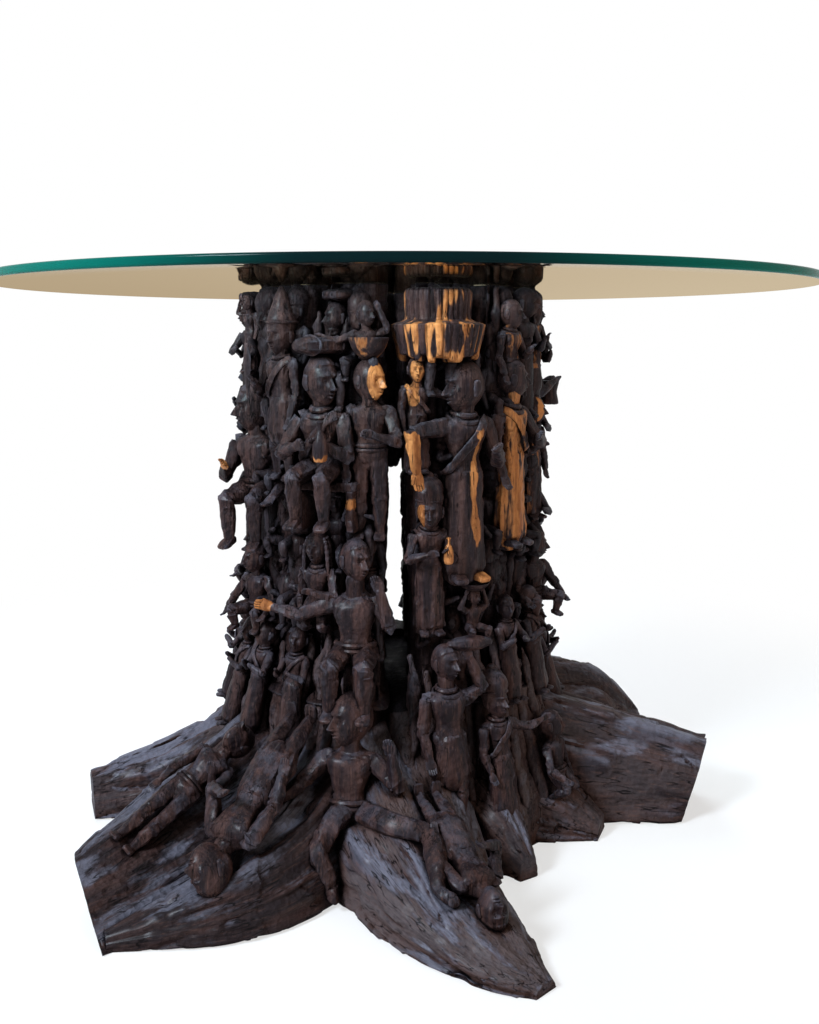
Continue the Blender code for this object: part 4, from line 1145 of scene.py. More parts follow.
def head_grid(hair, rows, cols):
    """Head in figure heights, facing -Y: an egg whose radius is raised and sunk by soft bumps for
    brow, eyes, nose, lips, chin and cheeks, with lines closer together over the face. The second
    grid is 1 on the face and 0 elsewhere."""
    u = np.linspace(-1.0, 1.0, cols, endpoint=False)
    lon = math.pi * (0.36 * u + 0.64 * u ** 3)[None]
    v = np.linspace(-0.985, 0.985, rows)
    lat = (0.5 * math.pi * (0.62 * v + 0.38 * v ** 3) - 0.10 * (1.0 - v * v))[:, None]
    h = np.sin(lat) + 0.0 * lon
    s = np.sin(lon) * np.cos(lat)
    front = ease(np.cos(lon) + 0.0 * lat, 0.05, 0.45)
    rise = np.zeros(h.shape)
    for amount, height, tall, side, wide in FACE.values():
        rise += amount * (front * np.exp(-((h - height) / tall) ** 2 - ((np.abs(s) - side) / wide) ** 2))
    bridge = np.clip((0.17 - h) / 0.45, 0.0, 1.0) * ease(h, -0.40, -0.29)
    spread = 0.080 + 0.085 * np.clip((0.10 - h) / 0.40, 0.0, 1.0)
    rise += front * 0.42 * bridge * np.exp(-(s / spread) ** 2)
    mane = ease(h - np.interp(np.abs(lon), *HAIRLINE), -0.03, 0.05)
    if hair == "bald":
        mane = 0.15 * mane
    if hair == "rows":
        texture = np.cos(15.0 * lon) * np.cos(lat)
    else:
        texture = np.cos(22.0 * lon) * np.cos(26.0 * lat)
    rise += mane * (0.085 + 0.030 * texture)
    jaw = 1.0 - 0.26 * ease(-h, 0.10, 1.0)
    wide, deep, tall = HEAD_SIZE
    x = wide * (1.0 + 0.55 * rise) * np.cos(lat) * np.sin(lon) * jaw
    y = -deep * (1.0 + rise) * np.cos(lat) * np.cos(lon) * (0.94 + 0.06 * jaw)
    y = y - 0.012 * ease(-h, 0.0, 1.0)
    z = tall * (1.0 + 0.35 * rise * np.clip(h, 0.0, 1.0)) * h
    face = front * (1.0 - mane) * ease(h, -1.0, -0.8)
    return np.stack((x, y, z), -1), face


def leg_knots(side, pose):
    """Leg as knots from the hip to the ankle, thicker at thigh and calf."""
    hip = np.array((side * HIP, 0.0, pose.hip + 0.01))
    knee, ankle = (hip + np.array((side * x, -y, z - 0.01)) for x, y, z in pose.joints[:2])
    thigh = 0.55 * hip + 0.45 * knee
    calf = 0.62 * knee + 0.38 * ankle
    over = (1.0 - BEND) * hip + BEND * knee
    under = BEND * knee + (1.0 - BEND) * ankle
    places = (hip, thigh, over, knee, under, calf, ankle)
    radii = np.insert(LEG_RADII, (2, 3), LEG_RADII[2])
    return [(*place, radius, radius) for place, radius in zip(places, radii)]


def arm_knots(side, gesture, lift):
    """Arm as knots from inside the shoulder to the wrist, thicker at the upper arm and forearm."""
    start = np.array((side * SHOULDER[0], -SHOULDER[1], SHOULDER[2] + lift))
    elbow, hand = (start + np.array((side * x, -y, z)) for x, y, z in ARMS[gesture])
    inside = start - np.array((side * 0.036, 0.0, -0.004))
    upper = 0.5 * start + 0.5 * elbow
    fore = 0.6 * elbow + 0.4 * hand
    above = (1.0 - BEND) * start + BEND * elbow
    below = BEND * elbow + (1.0 - BEND) * hand
    places = (inside, start, upper, above, elbow, below, fore, hand)
    radii = np.insert(ARM_RADII, (3, 4), ARM_RADII[3])
    return [(*place, radius, radius) for place, radius in zip(places, radii)]


def hand_grids(knots, side):
    """Palm, four fingers and thumb that carry on from a wrist."""
    wrist = np.array(knots[-1][:3])
    along = unit(wrist - np.array(knots[-2][:3]))
    across = unit(np.cross(along, (0.12, 1.0, 0.20)))
    flat = np.cross(across, along)
    grids = [tube([(*(wrist + along * reach), wide, deep) for reach, wide, deep in PALM], flat, 9, 12)]
    for k in FINGERS:
        root = wrist + along * 0.040 + across * k * FINGER_PITCH
        tip = root + along * (0.034 - 0.004 * abs(k)) - across * k * 0.001 - flat * 0.012
        grids.append(tube([(*root, 0.0078, 0.0078), (*(0.5 * (root + tip)), 0.0076, 0.0076),
                           (*tip, 0.0060, 0.0060)], flat, 6, 7, caps=2))
    root = wrist + along * 0.006 + across * side * 0.018
    tip = root + along * 0.034 + across * side * 0.008
    grids.append(tube([(*root, 0.009, 0.009), (*tip, 0.0062, 0.0062)], flat, 6, 7, caps=2))
    return grids


def folds(steps, sides, count, depth, hem=0):
    """Folds of cloth: waves round the body that deepen towards the hem."""
    turn = circle(sides)[None]
    drop = np.linspace(1.0, 0.0, steps)[:, None]
    return 1.0 + depth * drop * np.cos(count * turn + 1.4 * np.sin(2.0 * turn) + 2.2 * drop + hem)


def rings_up(rings, lift):
    """Body rings as knots of a line that goes up."""
    return [(0.0, -ring[3] if len(ring) > 3 else 0.0, ring[0] + lift, ring[1], ring[2]) for ring in rings]


def streaks(row, grid):
    """Sapwood on a body or its clothes: a wavering band, a pale chest or robe, or a ruddy whole."""
    pale = np.zeros(grid.shape[:2])
    x, y, z = (grid[..., k] for k in range(3))
    if "streak" in row.pale:
        middle = 0.026 + 0.014 * np.sin(11.0 * z)
        width = 0.025 + 0.010 * np.sin(27.0 * z + 1.0)
        band = np.exp(-((x - middle) / width) ** 4) * ease(z, 0.10, 0.20) * ease(-z, -0.74, -0.66)
        pale = np.maximum(pale, 0.86 * band)
    if "chest" in row.pale:
        pale = np.maximum(pale, 0.9 * ease(z, 0.52, 0.62) * ease(-x, -0.03, 0.01))
    if "ruddy" in row.pale:
        pale = np.maximum(pale, 0.50)
    if "robe" in row.pale:
        pale = np.maximum(pale, 0.66 * ease(-y, -0.01, 0.03))
    return pale


def body_part(row, lift, count):
    """Body from the hips to the neck, or from the chest for a bust."""
    rings = TORSO[BUST_RING:] if row.legs == "bust" else TORSO
    grid = tube(rings_up(rings, lift), BACK, count(44), count(36), box=BODY_BOX, caps=3)
    return Part(grid, streaks(row, grid))


def leg_parts(row, lift, count):
    """Legs with their feet, or the feet that show under a skirt."""
    pose = LEGS[row.legs]
    parts = []
    if pose.joints:
        for side in (-1.0, 1.0):
            knots = leg_knots(side, pose)
            parts.append(Part(tube(knots, DIAGONAL, count(34), count(18), box=LIMB_BOX)))
            ankle = np.array(knots[-1][:3])
            x, y, z = pose.joints[2]
            toe = np.array((side * (HIP + x), -y, pose.hip + z))
            heel = ankle - 0.35 * (toe - ankle) + np.array((0.0, 0.0, -0.006))
            ball = 0.4 * ankle + 0.6 * toe
            foot = [(*heel, 0.022, 0.019), (*ankle, 0.028, 0.020), (*ball, 0.034, 0.017),
                    (*toe, 0.030, 0.011)]
            foot = tube(foot, (0.0, 0.25, 1.0), count(14), count(14), box=LIMB_BOX)
            parts.append(Part(foot, depth=DEPTHS["foot"]))
    if row.legs == "skirt":
        for x in (-0.05, 0.05):
            foot = [(x, 0.0, 0.030 + lift, 0.026, 0.022), (x, -0.06, 0.026 + lift, 0.034, 0.020),
                    (1.2 * x, -0.115, 0.016 + lift, 0.030, 0.013)]
            bare = 0.9 if "foot" in row.pale and x > 0.0 else 0.0
            parts.append(Part(tube(foot, UP, count(12), count(14), box=LIMB_BOX), bare, DEPTHS["foot"]))
    return parts


def arm_parts(row, lift, count, hands):
    """Arms, with hands where they are asked for, and the places of the two wrists."""
    parts, wrists = [], []
    for side, gesture, label in ((-1.0, row.left, "left"), (1.0, row.right, "right")):
        knots = arm_knots(side, gesture, lift)
        wrists.append(np.array(knots[-1][:3]))
        arm = tube(knots, DIAGONAL, count(36), count(16), box=LIMB_BOX)
        along = np.linspace(0.0, 1.0, len(arm))[:, None]
        pale, palm = 0.0, 0.0
        if "forearm_" + label in row.pale:
            pale, palm = ease(along, 0.50, 0.66), 1.0
        if "hand_" + label in row.pale:
            pale, palm = ease(along, 0.82, 0.96), 0.9
        parts.append(Part(arm, pale))
        if hands:
            parts += [Part(grid, palm, DEPTHS["hand"]) for grid in hand_grids(knots, side)]
    return parts, wrists


def clothes(row, lift, hem, count):
    """Clothes of a person: skirt, kilt and sash."""
    grids = []
    for name, (rings, rows, points, waves, depth) in GARMENTS.items():
        if name in (row.legs, *row.dress.split()):
            steps, sides = count(rows), count(points)
            swell = folds(steps, sides, waves, depth, hem)
            grids.append(tube(rings_up(rings, lift), BACK, steps, sides, swell, caps=3))
    if "sash" in row.dress:
        flip = 1.0 if hem % 2 else -1.0
        line = [(flip * x, y, z + lift, *SASH_SIZE) for x, y, z in SASH]
        grids.append(tube(line, BACK, count(26), count(12)))
    return [Part(grid, streaks(row, grid)) for grid in grids]


def hoops(row, lift, count):
    """Rings round the body: thick collar and belt."""
    parts = []
    for name, rings in HOOPS.items():
        if name in row.dress:
            for y, z, wide, deep, thick, steps, tilt in rings:
                grid = hoop((0.0, y, z + lift), wide, deep, thick, count(steps), count(9), tilt)
                parts.append(Part(grid, depth=DEPTHS["hoop"], ring=True))
    return parts


def head_parts(row, lift, count):
    """Head with its ears, tipped and turned on the neck, and braids round it."""
    share = HEADS.get(row.name, 1.0)
    at = np.array(HEAD_AT) + (0.0, 0.0, lift + (1.0 - share) * HEAD_SIZE[2])
    head, face = head_grid(row.hair, count(60), count(72))
    pale = 0.0
    if "face" in row.pale:
        pale = 1.1 * face * ease(-head[..., 1], 0.45 * HEAD_SIZE[1], 0.60 * HEAD_SIZE[1])
    if "temple" in row.pale:
        pale = face * ease(-head[..., 0], 0.020, 0.045)
    parts = [Part(spun(tipped(share * head, row.nod), row.turn) + at, pale, DEPTHS["head"])]
    for side in (-1.0, 1.0):
        ear = tube([(side * x, *rest) for x, *rest in EAR], BACK, count(10), count(12))
        parts.append(Part(spun(tipped(share * ear, row.nod), row.turn) + at, 0.0, DEPTHS["hair"]))
    if row.hair == "long":
        steps, sides = BRAID_GRID
        knobs = 1.0 + 0.10 * np.cos(np.linspace(0.0, 44.0, steps))[:, None]
        for k in np.linspace(-1.0, 1.0, BRAIDS):
            turn = k * BRAID_REACH + math.pi
            x, y = BRAID_AT[0] * math.sin(turn), -BRAID_AT[1] * math.cos(turn)
            line = [(wide * x, deep * y, z, radius, radius) for wide, deep, z, radius in BRAID]
            braid = tube(line, DIAGONAL, steps, sides, knobs)
            parts.append(Part(spun(braid, row.turn) + at, 0.0, DEPTHS["hair"]))
    return parts


def load_parts(row, lift, count):
    """What stands on the head, turned with it: a strapped bundle, or a hat, cap or wrap with a brim."""
    made = []
    if row.load == "bundle":
        rows, sides = count(34), count(36)
        waves = 1.0 + 0.035 * np.cos(9.0 * circle(sides))
        made.append((tube(BUNDLE, UP, rows, sides, waves[None], box=3.4), False))
        for x in BUNDLE_STRAPS:
            strap = hoop((0.0, 0.0, 0.0), 0.092, 0.040, 0.008, count(32), count(8))
            strap = np.stack((strap[..., 2] + x, strap[..., 0], strap[..., 1] + 1.047), -1)[:, ::-1]
            made.append((strap, True))
    elif row.load:
        rows, sides = count(26), count(36)
        rings = LOADS[row.load]
        swell = 1.0
        if row.load == "wrap":
            swell = 1.0 + 0.050 * np.cos(4.0 * circle(sides)[None] + np.linspace(0.0, 9.0, rows)[:, None])
        made.append((tube(rings_up(rings, 0.0), BACK, rows, sides, swell), False))
        brim = hoop((0.0, 0.0, rings[0][0] + 0.03), 0.090, 0.103, 0.009, count(36), count(8))
        made.append((brim, True))
    up = (0.0, 0.0, lift)
    return [Part(spun(grid, row.turn) + up, 0.0, DEPTHS["load"], ring) for grid, ring in made]


def item_grids(row, lift, wrists):
    """Thing a person carries in a hand or between the hands, or tufts on the head."""
    left, right = wrists
    if row.item == "bottle":
        return [turned(BOTTLE, 20, 26) + right + (0.0, -0.030, -0.075)]
    if row.item == "bowl":
        return [turned(BOWL, 44, 30) + (0.0, -0.030, 0.945 + lift)]
    if row.item == "cup":
        return [turned(BOWL, 40, 26) * CUP_SIZE + (0.0, -0.010, 0.990 + lift)]
    if row.item == "drum":
        return [turned(DRUM, 30, 26) + (0.0, -0.165, 0.455 + lift)]
    if row.item == "flute":
        return [tube([(x, y, z + lift, 0.011, 0.011) for x, y, z in FLUTE], DIAGONAL, 14, 10)]
    if row.item == "staff":
        line = [left + (-0.004, -0.016, z) for z in STAFF]
        return [tube([(*point, 0.015, 0.015) for point in line], BACK, 40, 10)]
    if row.item == "blade":
        line = [(*(left + (-0.050, -0.006, z)), wide, 0.010) for z, wide in BLADE]
        return [tube(line, BACK, 24, 12)]
    if row.item == "sack":
        line = [(*(right + (x, 0.01, 0.075)), wide, wide * 0.72) for x, wide in SACK]
        return [tube(line, UP, 22, 24, folds(22, 24, 5, 0.05))]
    if row.item == "tufts":
        lines = [[(share * x, 0.0, z + lift, radius, radius) for share, z, radius in TUFT]
                 for x in (-TUFT_X, TUFT_X)]
        return [spun(tube(line, BACK, 10, 12), row.turn) for line in lines]
    return []


def item_parts(row, lift, wrists):
    """Thing a person carries with its wood: cups are ruddy, and bottles pale at the foot or all over."""
    parts = []
    for grid in item_grids(row, lift, wrists):
        pale = 0.5 if row.item == "cup" else 0.0
        if row.item == "bottle":
            low = np.linspace(1.0, 0.0, len(grid))[:, None]
            pale = 0.9 if "flask" in row.pale else 0.8 * ease(low, 0.62, 0.86)
        parts.append(Part(grid, pale, DEPTHS["item"]))
    return parts


def person(carving, row, matrix, size, sizes, salt, fine=1.0):
    """Carve one person: limbs along smooth lines, a body of rings, clothes, and a head."""
    lift = -BUST_CUT if row.legs == "bust" else LEGS[row.legs].hip - LEGS["stand"].hip
    cut = sizes.knife_cut * min(1.0, size / FULL_CUT_SIZE)
    pitch = sizes.knife_pitch

    def count(number):
        return max(6, int(round(number * fine)))

    arms, wrists = arm_parts(row, lift, count, fine > HAND_FINE)
    parts = [body_part(row, lift, count), *leg_parts(row, lift, count), *arms,
             *clothes(row, lift, int(salt), count), *hoops(row, lift, count),
             *head_parts(row, lift, count), *load_parts(row, lift, count),
             *item_parts(row, lift, wrists)]
    for part in parts:
        world = placed(part.grid, matrix, size)
        push = facets(world, pitch, salt) + 0.25 * noise(world, 2.4 * pitch, salt)
        world = pushed(world, part.depth * cut * push, part.ring)
        carving.add(world, part.pale, ring=part.ring)


def chance_person(sizes, chance, angle, foot, calm):
    """Row of a lesser person in a chance stance, who turns to the front at the trunk's sides."""
    size = chance.uniform(*CROWD_SIZE)
    around = (angle + 180.0) % 360.0 - 180.0
    beside = float(ease(abs(around), *SIDE_START) * ease(-abs(around), -SIDE_END[1], -SIDE_END[0]))
    arms = CROWD_ARMS[:CROWD_CALM] if calm or beside > 0.3 else CROWD_ARMS
    left, right = (str(chance.choice(arms)) for _ in range(2))
    legs = str(chance.choice(CROWD_LEGS[:CROWD_CALM] if beside > 0.3 else CROWD_LEGS))
    load = str(chance.choice(CROWD_LOADS))
    hair = str(chance.choice(CROWD_HAIR))
    dress = str(chance.choice(CROWD_DRESS))
    turn = chance.uniform(-CROWD_TURN, CROWD_TURN)
    spin = -math.copysign(CROWD_SPIN, around) * beside
    tall = 1.0 - LEGS["stand"].hip + LEGS[legs].hip + (LOAD_TALL if load else 0.0)
    highest = sizes.glass_under - CROWD_GAP - tall * size
    foot = min(foot + chance.uniform(-CROWD_RISE, CROWD_RISE), highest)
    return Person("", angle, CROWD_OUT + CROWD_BESIDE * beside, foot, size, legs, left, right, turn, hair,
                  dress, load, spin=spin)


def on_trunk(sizes, row):
    """Place of a person who stands against the trunk, turned by spin from facing straight out."""
    turn = Matrix.Rotation(math.radians(row.angle + row.spin), 4, "Z")
    tip = Matrix.Rotation(math.radians(-row.lean), 4, "X")
    return Matrix.Translation(spot(sizes, row.angle, sizes.post_outer + row.out, row.foot)) @ turn @ tip


def lying(feet, crown, face):
    """Place and height of a person who lies along a root."""
    feet = Vector(feet)
    body = Vector(crown) - feet
    up = body.normalized()
    back = -Vector(face)
    back = (back - up * back.dot(up)).normalized()
    turn = Matrix((back.cross(up), back, up)).transposed().to_4x4()
    return Matrix.Translation(feet) @ turn, body.length


# Stump, uprights and roots

def strand(sizes, chance, angle, heights, radii, thick):
    """Rib of wood that runs up the trunk: a round section carried through places at the given
    heights and distances from the axis, wandering a little to each side."""
    knots = []
    for k, (height, radius) in enumerate(zip(heights, radii)):
        wander = chance.uniform(-STRAND_WANDER, STRAND_WANDER)
        end = k in (0, len(heights) - 1)
        width = thick * (STRAND_END if end else chance.uniform(0.75, 1.25))
        knots.append((*spot(sizes, angle + wander, radius, height), width, width))
    rows, sides = STRAND_GRID
    grid = tube(knots, DIAGONAL, rows * len(heights), sides)
    push = cuts(grid, depth=0.004, width=0.012, salt=angle)
    return pushed(grid, push + lumps(grid, depth=0.003, width=0.016, salt=angle))


def stump_radius(sizes, angle, share):
    """Distance of the stump's face from its axis at an angle and a share of its height: the flare,
    waved by lobes towards the roots and by ribs."""
    levels = np.array(STUMP_LEVELS)
    reach, lobe = (np.interp(share, levels[:, 0], levels[:, k]) for k in (1, 2))
    lobes = lobe * np.cos(STUMP_LOBES * angle + math.radians(STUMP_LOBE_TURN))
    return sizes.post_outer + reach + lobes + STUMP_RIB * np.cos(STUMP_RIBS * angle)


def stump_grid(sizes):
    """Face of the stump: its flared rings, fluted, cut and hollowed under the slot. The second grid
    holds painted deep shade for the shader, in the hollow and on top."""
    rows, cols = STUMP_GRID
    share = np.linspace(0.0, 1.0, rows)[:, None]
    angle = circle(cols)[None]
    height = share * (sizes.stump_top - 0.001) + 0.0 * angle
    grid = round_trunk(sizes, angle, stump_radius(sizes, angle, share), height)
    flutes = np.abs(lumps(drawn_out(grid, 0.22), depth=0.008, width=0.020, salt=3.0))
    off = np.abs((np.degrees(angle) - HOLLOW_ANGLE + 180.0) % 360.0 - 180.0)
    hollow = ease(-off, -HOLLOW_HALF, -0.4 * HOLLOW_HALF) * ease(share, 0.25, 0.60)
    push = cuts(grid, depth=0.005, width=0.018, salt=9.0) - flutes - HOLLOW_DEPTH * hollow
    grid = pushed(grid, push)
    grid[..., 2] = np.clip(grid[..., 2], FLOOR_GAP, None)
    # Negative pale: painted deep shade in the hollow and on the top
    return grid, -2.0 * np.maximum(hollow, ease(share, 0.97, 1.0))


def stump_strands(sizes):
    """Strands round the stump that lean in against the uprights."""
    chance = np.random.default_rng(STRAND_SEED)
    grids = []
    for k in range(STRANDS):
        angle = 360.0 * (k + chance.uniform(-0.25, 0.25)) / STRANDS
        if min(abs(angle - bare) for bare in BARE_ANGLES) < HOLLOW_HALF:
            continue
        low, high = chance.uniform(0.02, 0.09), chance.uniform(0.24, STRAND_TOP)
        heights = np.linspace(low, high, 7)
        radii = stump_radius(sizes, math.radians(angle), np.minimum(heights / sizes.stump_top, 1.0))
        radii = radii - 0.005 - 0.022 * ease(heights, sizes.stump_top, STRAND_TOP)
        thick = chance.uniform(0.006, 0.010)
        grids.append(strand(sizes, chance, angle, heights, radii, thick))
    return grids


def post_grid(sizes, number, post):
    """Face of an upright: a six-cornered section eased round and carried up, then gouged, most
    deeply on its outer face."""
    levels = np.array(POST_LEVELS)
    share, flare, waver = (levels[:, k:k + 1] for k in range(3))
    left = post.left + share * (post.left_head - post.left) + waver
    right = post.right + share * (post.right_head - post.right) + waver
    middle = 0.5 * (left + right)
    outer, inner = sizes.post_outer * flare, sizes.post_inner / flare
    angles = (left, middle, right, right - POST_NARROW, middle, left + POST_NARROW)
    angles = np.radians(np.concatenate(angles, 1))
    radii = (outer, outer + POST_BULGE_OUT, outer, inner, inner - POST_BULGE_IN, inner)
    height = sizes.stump_top + share * (sizes.post_top - sizes.stump_top) + 0.0 * angles
    rows, cols = POST_GRID
    grid = spline(round_trunk(sizes, angles, np.concatenate(radii, 1), height), rows)
    grid = np.swapaxes(spline(np.swapaxes(grid, 0, 1), cols, closed=True), 0, 1)
    drawn = drawn_out(grid, 0.30)
    away = np.hypot(grid[..., 0] - sizes.trunk_x, grid[..., 1])
    face = ease(away, 0.150, 0.185)
    push = -sizes.post_recess * face
    push -= sizes.gouge * ease(noise(drawn, 0.020, number), -0.2, 0.6) * (0.35 + 0.65 * face)
    push -= 0.4 * sizes.gouge * ease(noise(drawn, 0.009, number + 20.0), -0.1, 0.7)
    push += cuts(grid, depth=0.005, width=0.014, salt=number)
    ends = ease(grid[..., 2], sizes.stump_top, sizes.stump_top + 0.02)
    grid = pushed(grid, push * ends)
    grid[..., 2] = np.clip(grid[..., 2], sizes.stump_top, sizes.post_top)
    return grid


def post_strands(sizes, number, post):
    """Strands over an upright, and those beside it that close the gap at the back."""
    chance = np.random.default_rng(number)
    grids = []
    for _ in range(int(POST_STRANDS * (post.right - post.left))):
        angle = chance.uniform(post.left + 3.0, post.right - 3.0)
        low = chance.uniform(0.22, 0.60)
        high = min(low + chance.uniform(0.10, 0.24), sizes.post_top - GLASS_GAP)
        heights = np.linspace(low, high, 6)
        radii = sizes.post_outer + chance.uniform(-0.014, -0.004) + 0.0 * heights
        thick = chance.uniform(0.005, 0.009)
        grids.append(strand(sizes, chance, angle, heights, radii, thick))
    if "back_mid" in post.name:
        edge = post.right if "right" in post.name else post.left
        heights = np.linspace(CURTAIN_FOOT, sizes.post_top - GLASS_GAP, 8)
        radii = sizes.post_outer - CURTAIN_SUNK + 0.0 * heights
        for offset in CURTAIN_OFFSETS:
            angle = edge + math.copysign(offset, 180.0 - edge)
            grids.append(strand(sizes, chance, angle, heights, radii, CURTAIN_THICK))
    return grids


def root_grid(sizes, number, root):
    """Face of a root: its section carried along its stations, turned to the sawn face near a sawn
    end, grooved along the grain and cut. The second grid holds the way along the grain for the
    shader, and the last value is the way the root's end faces."""
    rows, cols = ROOT_GRID
    line = spline(np.array(root.stations), rows)
    wide, tall = line[:, 2:3], line[:, 3:4]
    section = spline(np.array(root.section), cols, closed=True)
    across, up = section[:, 0][None], np.clip(section[:, 1], 0.0, 1.0)[None]
    run = np.gradient(line[:, :2], axis=0)
    along = unit(run)
    share = np.linspace(0.0, 1.0, rows)[:, None]
    over = np.zeros((rows, 1))
    taper = np.clip(wide / 0.05, 0.2, 1.0)
    if root.saw is not None:
        saw = np.array((math.cos(math.radians(root.saw)), math.sin(math.radians(root.saw))))
        late = ease(share, SAW_START, 1.0)
        along = unit(along * (1.0 - late) + saw * late)
        over = root.overhang * late
        taper = taper * (1.0 - 0.7 * ease(share, 0.93, 1.0))
    side = np.stack((-along[:, 1], along[:, 0]), -1)
    flat = (line[:, None, :2] + side[:, None] * (across * wide)[..., None]
            + along[:, None] * (over * up)[..., None])
    grid = np.concatenate((flat, (up * tall)[..., None]), -1)
    turn = circle(cols)[None]
    girth = 0.7 * wide
    run = np.cumsum(np.linalg.norm(run, axis=1))[:, None]
    flow = np.stack((girth * np.cos(turn), girth * np.sin(turn), run + 0.0 * turn), -1)
    grain = drawn_out(flow, 0.22)
    push = -sizes.root_groove * ease(np.abs(noise(grain, 0.030, number)), 0.15, 0.0)
    push += -0.45 * sizes.root_groove * ease(noise(grain, 0.012, number + 9.0), 0.05, 0.7)
    push += -0.30 * sizes.root_groove * ease(noise(grain, 0.005, number + 5.0), 0.10, 0.7)
    push += (cuts(grid, depth=0.006, width=0.042, salt=number)
             + lumps(grid, depth=0.003, width=0.060, salt=number))
    return pushed(grid, push * taper), flow, along[-1]


def sawn_face(rim, way, number):
    """Sawn end inside a rim: the rim shrunk towards its middle in rings, with chips along the way it
    faces. The second grid holds places from the heart of the year rings for the shader."""
    middle = rim.mean(1, keepdims=True)
    disc = middle + (rim - middle) * np.array(SAW_RINGS)[:, None, None]
    chips = cuts(disc, depth=0.0012, width=0.012, salt=number)
    disc = disc + np.array((*way, 0.0)) * chips[..., None]
    return disc, disc - middle + SAW_HEART


# Pieces

class PieceOperator(bpy.types.Operator):
    """Shared settings of the operators that build pieces."""

    bl_options = {"REGISTER", "UNDO"}


class ROOTTABLE_OT_glass(PieceOperator):
    """Turn the round glass top from its half profile, with a softly rounded edge"""

    bl_idname = "root_table.glass"
    bl_label = "Glass top"

    def execute(self, context):
        sizes = context.scene.root_table_sizes
        low, high = sizes.glass_under, sizes.glass_under + sizes.glass_thick
        radius, soft = sizes.glass_radius, sizes.glass_round
        sides = 288
        bend = np.linspace(0.0, 0.5 * math.pi, 6)
        inner = np.linspace(0.02, radius - soft, 10)[:-1]
        lower = np.stack((radius - soft + soft * np.sin(bend), low + soft - soft * np.cos(bend)), -1)
        upper = np.stack((radius - soft + soft * np.cos(bend), high - soft + soft * np.sin(bend)), -1)
        under = np.stack((inner, np.full(len(inner), low)), -1)
        over = np.stack((inner[::-1], np.full(len(inner), high)), -1)
        profile = np.concatenate((under, lower, upper, over))
        carving = Carving()
        carving.add(turned(profile, sides))
        rows = np.repeat(np.arange(len(profile) - 1), sides)
        rim = (rows >= len(inner)) & (rows < len(inner) + 2 * len(bend) - 1)
        picks = np.concatenate((rim, np.zeros(2 * sides, bool)))
        looks = glass_looks(context.scene.root_table_colours)
        carving.finish("round_glass", looks, "top", ("glass_top",), sharp=35.0, picks=picks)
        return {"FINISHED"}


class ROOTTABLE_OT_pads(PieceOperator):
    """Turn the four clear pads that keep the glass off the wood"""

    bl_idname = "root_table.pads"
    bl_label = "Clear pads"

    def execute(self, context):
        sizes = context.scene.root_table_sizes
        look = pad_look()
        radius, thick = sizes.pad_radius, sizes.pad_thick
        middle = 0.5 * (sizes.post_inner + sizes.post_outer)
        profile = ((0.1 * radius, 0.0), (radius, 0.0), (radius, 0.55 * thick),
                   (0.94 * radius, 0.85 * thick), (0.82 * radius, thick), (0.1 * radius, thick))
        for name, angle in PADS:
            carving = Carving()
            at = np.array(spot(sizes, angle, middle, sizes.glass_under - thick - PAD_GAP))
            carving.add(turned(profile, 40) + at)
            carving.finish("clear_" + name, [look], "base", (name,), sharp=40.0)
        return {"FINISHED"}


class ROOTTABLE_OT_stump(PieceOperator):
    """Shape the stump's heart: rings with lobes towards the roots, fluted and gouged"""

    bl_idname = "root_table.stump"
    bl_label = "Stump"

    def execute(self, context):
        sizes = context.scene.root_table_sizes
        carving = Carving()
        # The stump's second grid goes in as pale, negative for painted deep shade
        carving.add(*stump_grid(sizes))
        for grid in stump_strands(sizes):
            carving.add(grid)
        look = wood_look("blackwood_stump")
        carving.finish("carved_stump", [look], "base", ("stump_heart",))
        return {"FINISHED"}


class ROOTTABLE_OT_posts(PieceOperator):
    """Shape the uprights: a six-cornered section eased round and carried up, then gouged"""

    bl_idname = "root_table.posts"
    bl_label = "Uprights"

    def execute(self, context):
        sizes = context.scene.root_table_sizes
        look = wood_look("blackwood_trunk")
        for number, post in enumerate(POSTS):
            carving = Carving()
            carving.add(post_grid(sizes, number, post))
            for grid in post_strands(sizes, number, post):
                carving.add(grid)
            carving.finish("carved_" + post.name, [look], "base", (post.name,))
        return {"FINISHED"}


class ROOTTABLE_OT_roots(PieceOperator):
    """Shape the roots: a section carried along each root's stations, grooved along its grain"""

    bl_idname = "root_table.roots"
    bl_label = "Roots"

    def execute(self, context):
        sizes = context.scene.root_table_sizes
        for number, root in enumerate(ROOTS):
            look = wood_look(ROOT_WOODS.get(root.name, "blackwood_root"))
            grid, flow, way = root_grid(sizes, number, root)
            sawn = np.zeros((len(grid), 1))
            if root.saw is not None:
                disc, rings = sawn_face(grid[-1:], way, number)
                grid = np.concatenate((grid, disc))
                flow = np.concatenate((flow, rings))
                sawn = np.concatenate((sawn, np.ones((len(disc), 1))))
            grid[..., 2] = np.clip(grid[..., 2], FLOOR_GAP, None)
            carving = Carving()
            carving.add(grid, sawn=sawn, flow=flow)
            carving.finish("carved_" + root.name, [look], "base", (root.name,), sharp=48.0)
        return {"FINISHED"}


